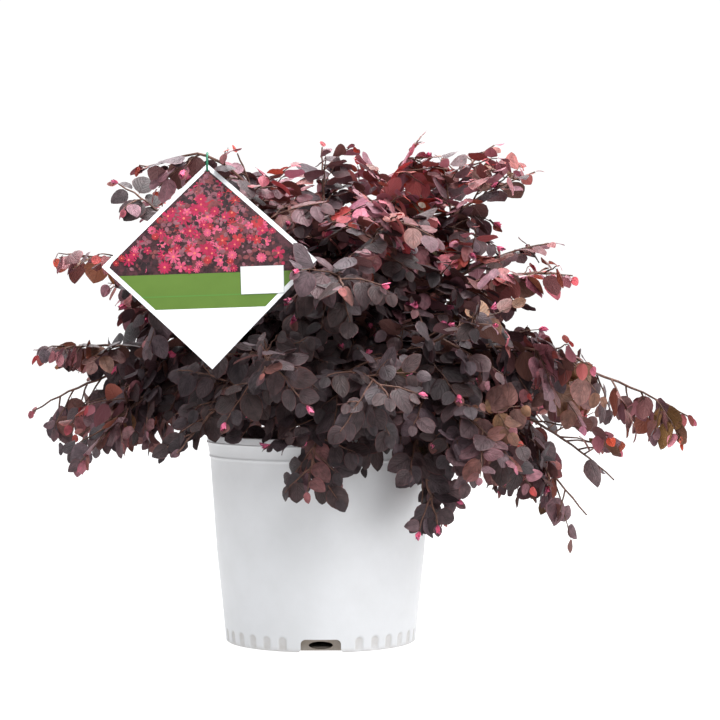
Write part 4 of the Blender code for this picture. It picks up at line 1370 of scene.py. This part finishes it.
def pickEnding(rng, kind, place):
    plain, shoot, bud = endingShares[kind]
    outer = shownAt(place)[2]
    return rng.choices(list(endings), (plain, shoot * (0.2 + outer), bud * (1.3 - 0.9 * outer)))[0]


def loose(rng, amount):
    return Vector([rng.uniform(-amount, amount) for _ in range(3)])


def addLeaf(rng, room, found, tint, root, forward, facing, length, broad, shape):
    forward.normalize()
    if isFree([root + forward * length, root + forward * length * 0.5], *room):
        found[tint].append((root, forward, facing, (length, length * broad, length), shape))
        return True


def placeRosette(rng, room, found, tip, direction, facing, count):
    # folded young leaves standing round the end of a twig
    side = direction.cross(facing).normalized()
    for number in range(count):
        turn = number * growth["rosetteTurn"]
        spread = side * math.cos(turn) + facing * math.sin(turn)
        forward = direction + spread * rng.uniform(0.15, 0.75)
        length, broad = rng.uniform(*growth["rosetteLength"]), rng.uniform(*growth["rosetteBroad"])
        shape = leafShape["mature"] + rng.randrange(leafShape["young"])
        addLeaf(rng, room, found, "crimson", tip, forward, direction - spread * 0.6, length, broad, shape)


def placeLeaves(path, facing, rng, room, tint, bare, ending, found):
    total = station = lengthOf(path)
    number = 0
    lifted, far, shown = shownAt(path[-1])
    sizes, tipTints = endings[ending]["sizes"], endingTints[ending]
    if shown < 0.4:
        tipTints = [older[young] for young in tipTints]
    droop = (rng.uniform(*growth["droop"]) + growth["farDroop"] * far) * (1 - 0.8 * lifted)
    skyward = growth["leafSkyward"] + growth["topSkyward"] * lifted + growth["farSkyward"] * far
    outward = growth["leafOutward"] * (1 - far)
    if endings[ending]["rosette"]:
        placeRosette(rng, room, found, *spotOn(path, total), facing, endings[ending]["rosette"])
    while station > bare:
        root, direction = spotOn(path, station)
        share = sizes[number] if number < len(sizes) else 1
        chosen = tipTints[number] if number < len(tipTints) else tint
        if number > 7:
            chosen = older.get(tint, tint)
        side = 0 if number == 0 else (1 if number % 2 else -1)
        lateral = direction.cross(facing).normalized() * side
        for again in growth["retryDroop"]:
            forward = direction * rng.uniform(0.35, 0.75) + lateral * rng.uniform(0.7, 1.1)
            forward -= up * max(0, droop + rng.uniform(-0.2, 0.2) + again)
            turned = facing + up * skyward + outwardAt(root) * outward + loose(rng, growth["leafTilt"])
            length, broad = rng.uniform(*growth["leafLength"]) * share, rng.uniform(*growth["leafBroad"])
            if addLeaf(rng, room, found, chosen, root, forward, turned, length, broad, rng.randrange(leafShape["mature"])):
                break
        number += 1
        station -= growth["leafSpacing"] * share**0.7 * rng.uniform(0.85, 1.15)


def crowdingOf(name, tip):
    # more side twigs on the lowest and highest masses, fewer on the airy ones
    low = min(1, max(0, (0.20 - tip[2]) / 0.04))
    high = min(1, max(0, (tip[2] - 0.43) / 0.03))
    crowding = 1 + growth["lowCrowding"] * low + growth["highCrowding"] * high
    return crowding * (growth["airyShare"] if any(bough in name for bough in growth["airy"]) else 1)


def growMass(name, bough, stem, tip, twigs, found):
    rng = random.Random("%s %d" % (name, growth["seed"]))
    ceiling = max(tip[2], max(point.z for point in stem) + 0.016) + growth["ceilingSlack"]
    room = (max(math.hypot(tip[0], tip[1]), growth["topReach"]) + growth["reachSlack"], ceiling)
    facing = sprayFacing(stem, rng)
    stem = zigzag(stem, facing, rng)
    twigs["stem"].append((stem, taper(*limbs["stemRadius"], len(stem))))
    placeLeaves(stem, facing, rng, room, pickTint(rng, stem[-1]), 0.01, pickEnding(rng, "stem", stem[-1]), found)
    limb = bough[int(len(bough) * growth["boughShare"]) :] + stem[1:]
    total = lengthOf(limb)
    sides = max(growth["fewestSides"], round(total / growth["sideEvery"] * crowdingOf(name, tip)))
    first = rng.uniform(0, math.tau)
    for number in range(sides):
        share = (number / (sides - 1)) ** growth["baseCrowding"]
        share = growth["firstSide"] + (growth["lastSide"] - growth["firstSide"]) * share
        root, direction = spotOn(limb, total * share)
        lateral = direction.cross(outwardAt(root)).normalized()
        raised = lateral.cross(direction)
        length = rng.uniform(*growth["sideLength"]) * (1 - growth["sideShortening"] * share)
        for attempt in range(6):
            turn = first + number * growth["sideTurn"] + attempt * 0.9
            side = lateral * math.cos(turn) + raised * math.sin(turn) * growth["sideFlatten"]
            towards = (direction * rng.uniform(0.5, 0.9) + side).normalized()
            tried = length * (1 - 0.12 * attempt)
            path = curveTwig(rng, root, towards, tried, max(5, int(tried / 0.0085)))
            if isFree(path[1:] + [path[-1] * 2 - path[-2]], *room, growth["crossing"]):
                break
        else:
            continue
        facing = sprayFacing(path, rng)
        path = zigzag(path, facing, rng)
        twigs["side"].append((path, taper(*growth["twigRadius"], len(path))))
        tint = pickTint(rng, path[-1])
        placeLeaves(path, facing, rng, room, tint, 0.004, pickEnding(rng, "side", path[-1]), found)
        fine = int(tried / growth["fineSpacing"]) - 1
        for step in range(fine):
            start, along = spotOn(path, tried * (0.18 + 0.62 * step / max(1, fine)))
            wing = along.cross(facing).normalized() * (1 if step % 2 else -1)
            towards = (along * rng.uniform(0.5, 0.9) + wing + facing * rng.uniform(-0.3, 0.45)).normalized()
            fineLength = tried * growth["fineLength"] * rng.uniform(0.7, 1.2) * (1 - 0.4 * step / max(1, fine))
            finePath = curveTwig(rng, start, towards, fineLength, 5)
            if isFree(finePath[1:], *room):
                turned = sprayFacing(finePath, rng)
                ownTint = pickTint(rng, finePath[-1]) if rng.random() < growth["ownTint"] else tint
                finePath = zigzag(finePath, turned, rng)
                twigs["fine"].append((finePath, taper(*growth["fineRadius"], len(finePath))))
                placeLeaves(finePath, turned, rng, room, ownTint, 0.003, pickEnding(rng, "fine", path[-1]), found)


leafShape = {
    "rows": ((0.11, 0.03), (0.15, 0.45), (0.26, 0.82), (0.42, 1.0), (0.62, 0.93), (0.80, 0.67), (0.93, 0.31)),
    "columns": (-1.0, -0.52, 0.0, 0.52, 1.0),
    "youngRows": ((0.10, 0.35), (0.38, 0.95), (0.66, 0.90), (0.88, 0.45)),
    "youngColumns": (-1.0, 0.0, 1.0),
    "mature": 14,
    "young": 4,
    "fold": (0.02, 0.34),
    "youngFold": (0.55, 1.10),
    "curl": (-0.30, 0.80),
    "youngCurl": (-0.90, 0.50),
    "twist": 0.30,
    "roll": (0.0, 0.60),
    "ripple": (0.006, 0.030),
    "skew": 0.08,
}


def leafMesh(name, rng, isYoung):
    # one unit long and one broad, foot of the stalk at the origin, tip along x, upper face towards z
    rows = leafShape["youngRows" if isYoung else "rows"]
    columns = leafShape["youngColumns" if isYoung else "columns"]
    fold = rng.uniform(*leafShape["youngFold" if isYoung else "fold"])
    curl = rng.uniform(*leafShape["youngCurl" if isYoung else "curl"]) or 0.01
    twist = rng.uniform(-leafShape["twist"], leafShape["twist"])
    roll = rng.uniform(*leafShape["roll"])
    ripple = rng.uniform(*leafShape["ripple"])
    skew = rng.uniform(-leafShape["skew"], leafShape["skew"])
    phase = rng.uniform(0, math.tau)
    flat = [(along, half * column, column) for along, half in rows for column in columns]
    flat += [(0.0, 0.0, 0.0), (1.0, 0.0, 0.0)]
    points = []
    for along, across, column in flat:
        y = across / 2 * (1 + skew * math.copysign(1, across))
        z = abs(y) * math.tan(fold) * 0.8 - roll * abs(y) ** 2.5 * 2
        z += ripple * math.sin(along * 9 + phase + column * 1.3) * column * column
        y *= math.cos(fold)
        turn = twist * along
        y, z = y * math.cos(turn) - z * math.sin(turn), y * math.sin(turn) + z * math.cos(turn)
        bend = curl * along
        x = math.sin(bend) / curl + z * math.sin(bend)
        points.append((x, y, z * math.cos(bend) - (1 - math.cos(bend)) / curl))
    wide = len(columns)
    foot, tip = len(flat) - 2, len(flat) - 1
    quads = []
    for row in range(len(rows) - 1):
        for column in range(wide - 1):
            corner = row * wide + column
            quads.append((corner, corner + wide, corner + wide + 1, corner + 1))
    last = (len(rows) - 1) * wide
    ends = [(foot, column, column + 1) for column in range(wide - 1)]
    ends += [(last + column, tip, last + column + 1) for column in range(wide - 1)]
    mesh = meshFromArrays(name, points, quads, ends)
    layer, tones = mesh.uv_layers.new(name="leafMap"), mesh.uv_layers.new(name="leafTone")
    tone = (rng.random(), rng.random() * (0.4 if isYoung else 1))
    for loop in mesh.loops:
        along, across, column = flat[loop.vertex_index]
        layer.data[loop.index].uv = (along, column / 2 + 0.5)
        tones.data[loop.index].uv = tone
    return mesh


def leafMaterial(name, colour):
    made, nodes, links, shader = newMaterial("leaf_" + name, 0.50, 0.28)
    flat, own = nodes.new("ShaderNodeUVMap"), nodes.new("ShaderNodeUVMap")
    flat.uv_map, own.uv_map = "leafMap", "leafTone"
    place = nodes.new("ShaderNodeTexCoord")
    pale = tuple(min(1, c * 1.45) for c in colour)
    mottle = placeGroup(
        nodes, cloudGroup, Scale=190.0, Detail=5.0, Low=0.32, High=0.68, Dark=tuple(c * 0.62 for c in colour), Pale=pale
    )
    veins = placeGroup(nodes, veinGroup, Pairs=6.0, Slant=1.15)
    links.new(place.outputs["Object"], mottle.inputs["Vector"])
    links.new(flat.outputs[0], veins.inputs["Vector"])
    links.new(place.outputs["Object"], veins.inputs["Wander"])
    lines = mathNode(nodes, links, "MULTIPLY", veins.outputs["Mask"], 0.30)
    upper = mixColours(nodes, links, lines, mottle.outputs["Colour"], tuple(c * 0.45 for c in colour))
    rim = mathNode(nodes, links, "MULTIPLY", veins.outputs["Rim"], 0.7)
    upper = mixColours(nodes, links, rim, upper, tuple(c * f + g for c, f, g in zip(colour, (1.3, 1.0, 1.0), (0.05, 0.012, 0.010))))
    # undersides paler and redder: partly the leaf's own underside colour, partly painted backlight standing in for
    # light shining through the thin leaf
    undersideAndBacklight = tuple(c * f + g for c, f, g in zip(colour, (1.85, 1.40, 1.30), (0.046, 0.020, 0.017)))
    turned = nodes.new("ShaderNodeNewGeometry")
    sides = mixColours(nodes, links, turned.outputs["Backfacing"], upper, undersideAndBacklight)
    tone = nodes.new("ShaderNodeSeparateXYZ")
    links.new(own.outputs[0], tone.inputs[0])
    shade = nodes.new("ShaderNodeHueSaturation")
    links.new(rangeNode(nodes, links, tone.outputs[0], 0, 1, 0.74, 1.26), shade.inputs["Value"])
    links.new(rangeNode(nodes, links, tone.outputs[1], 0, 1, 0.465, 0.515), shade.inputs["Hue"])
    links.new(rangeNode(nodes, links, tone.outputs[1], 0, 1, 0.84, 1.18), shade.inputs["Saturation"])
    links.new(sides, shade.inputs["Color"])
    sides = shade.outputs[0]
    links.new(mixColours(nodes, links, veins.outputs["Stalk"], sides, (0.16, 0.060, 0.045)), shader.inputs["Base Color"])
    fine = mathNode(nodes, links, "MULTIPLY_ADD", mottle.outputs["Height"], 0.8, veins.outputs["Height"])
    addBump(nodes, links, shader, fine, 0.7, 0.0005)
    return made


mostLeaves = 3400  # in one piece


def makeLeaves(found):
    rng = random.Random("leaf shapes")
    counts = (("mature", False), ("young", True))
    for tint, colour in tints.items():
        rng.seed("leaf shapes")
        shapes = [leafMesh("leaf", rng, isYoung) for kind, isYoung in counts for _ in range(leafShape[kind])]
        material = leafMaterial(tint, colour)
        for start in range(0, len(found[tint]), mostLeaves):
            name = "leaves_" + tint + ("_more" if start else "")
            mesh = strew(name, found[tint][start:start + mostLeaves], shapes, material)
            addPiece(name, mesh, material, cadNodes("foliage_"))
        print("leaves", tint, len(found[tint]))


def makeCrown():
    paths = {name: boughPath(tips) for name, tips in crown.items()}
    makeLimbs(paths)
    twigs = {"stem": [], "side": [], "fine": []}
    found = {tint: [] for tint in tints}
    for name, tips in crown.items():
        for number, tip in enumerate(tips):
            stem = stemPath(paths[name], tip, name == "tag" and number == 0)
            growMass("foliage_%s_%d" % (name, number + 1), paths[name], stem, tip, twigs, found)
    young = cloudedMaterial("twig", (0.048, 0.023, 0.017), (0.140, 0.066, 0.047), 160.0, 0.66, 0.30, 5.0, 0.4, 0.0005)
    for kind, sides in (("stem", 8), ("side", 5), ("fine", 4)):
        mesh = tubes("twigs_" + kind, twigs[kind], young, sides, 0.35, (500, 500, 500))
        addPiece("twigs_" + kind, mesh, young, cadNodes("foliage_"))
    makeLeaves(found)
    print("crown:", sum(map(len, twigs.values())), "twigs,", sum(map(len, found.values())), "leaves")


# Stage: pale floor, soft light, and the camera where the photograph was taken from

view = {
    "place": (0, -2.37, 0.328983),
    "pitch": math.radians(1.526),
    "yaw": math.radians(0.9006),
    "lens": 125,
    "floor": (0.15, 0.15, 0.15),
    "floorSeen": 1.0,
    "floorGlow": 0.86,
    "backdrop": 1.05,
    "sideLight": 0.32,
    "skyLight": 1.38,
    "lamps": {
        "top": ((0.15, 0.0, 1.90), (0, 0, 0.34), 1.5, 63),
        "key": ((1.90, -0.60, 0.90), (0, 0, 0.25), 1.3, 12),
        "front": ((0.70, -1.50, 1.80), (0, 0, 0.36), 1.4, 33),
        "right": ((1.70, 0.70, 0.70), (0, 0, 0.25), 1.2, 9),
        "left": ((-1.80, 0.50, 0.70), (0, 0, 0.25), 1.2, 4),
        "rim": ((-0.30, 1.60, 1.40), (0, 0, 0.38), 1.2, 16),
    },
}


def addArea(name, place, target, size, power):
    light = bpy.data.lights.new(name, "AREA")
    light.size = size
    light.energy = power
    lamp = bpy.data.objects.new(name, light)
    lamp.location = place
    lamp.rotation_euler = (Vector(target) - Vector(place)).to_track_quat("-Z", "Y").to_euler()
    bpy.context.scene.collection.objects.link(lamp)


def makeWorld():
    # a white backdrop to look at, and a soft dome that is brighter overhead to light by
    world = bpy.data.worlds.new("studio")
    world.use_nodes = True
    nodes, links = world.node_tree.nodes, world.node_tree.links
    dome = nodes["Background"]
    dome.inputs[0].default_value = (0.94, 0.97, 1.0, 1)
    place = nodes.new("ShaderNodeTexCoord")
    split = nodes.new("ShaderNodeSeparateXYZ")
    links.new(place.outputs["Generated"], split.inputs[0])
    links.new(rangeNode(nodes, links, split.outputs[2], 0.0, 0.9, view["sideLight"], view["skyLight"]), dome.inputs[1])
    backdrop = nodes.new("ShaderNodeBackground")
    backdrop.inputs[0].default_value = (1, 1, 1, 1)
    backdrop.inputs[1].default_value = view["backdrop"]
    rays = nodes.new("ShaderNodeLightPath")
    choose = nodes.new("ShaderNodeMixShader")
    links.new(rays.outputs["Is Camera Ray"], choose.inputs[0])
    links.new(dome.outputs[0], choose.inputs[1])
    links.new(backdrop.outputs[0], choose.inputs[2])
    links.new(choose.outputs[0], nodes["World Output"].inputs[0])
    bpy.context.scene.world = world


def makeStage():
    scene = bpy.context.scene
    mesh = meshFromArrays("floor", [(-6, -6, 0), (6, -6, 0), (6, 6, 0), (-6, 6, 0)], [(0, 1, 2, 3)])
    made, nodes, links, shader = newMaterial("floor_white", 0.9, 0.2)
    shader.inputs["Base Color"].default_value = (*view["floor"], 1)
    shader.inputs["Emission Color"].default_value = (1, 1, 1, 1)
    rays = nodes.new("ShaderNodeLightPath").outputs["Is Camera Ray"]
    links.new(rangeNode(nodes, links, rays, 0, 1, view["floorGlow"], view["floorSeen"]), shader.inputs["Emission Strength"])
    mesh.materials.append(made)
    floor = bpy.data.objects.new("floor", mesh)
    scene.collection.objects.link(floor)
    makeWorld()
    for name, values in view["lamps"].items():
        addArea(name, *values)
    camera = bpy.data.cameras.new("camera")
    camera.lens = view["lens"]
    camera.sensor_width = 36
    holder = bpy.data.objects.new("camera", camera)
    holder.location = view["place"]
    holder.rotation_euler = (math.pi / 2 - view["pitch"], 0, -view["yaw"])
    scene.collection.objects.link(holder)
    scene.camera = holder
    scene.view_settings.view_transform = "Standard"


makePot()
makeMix()
makeTag()
makeCrown()
makeStage()
bpy.context.view_layer.update()
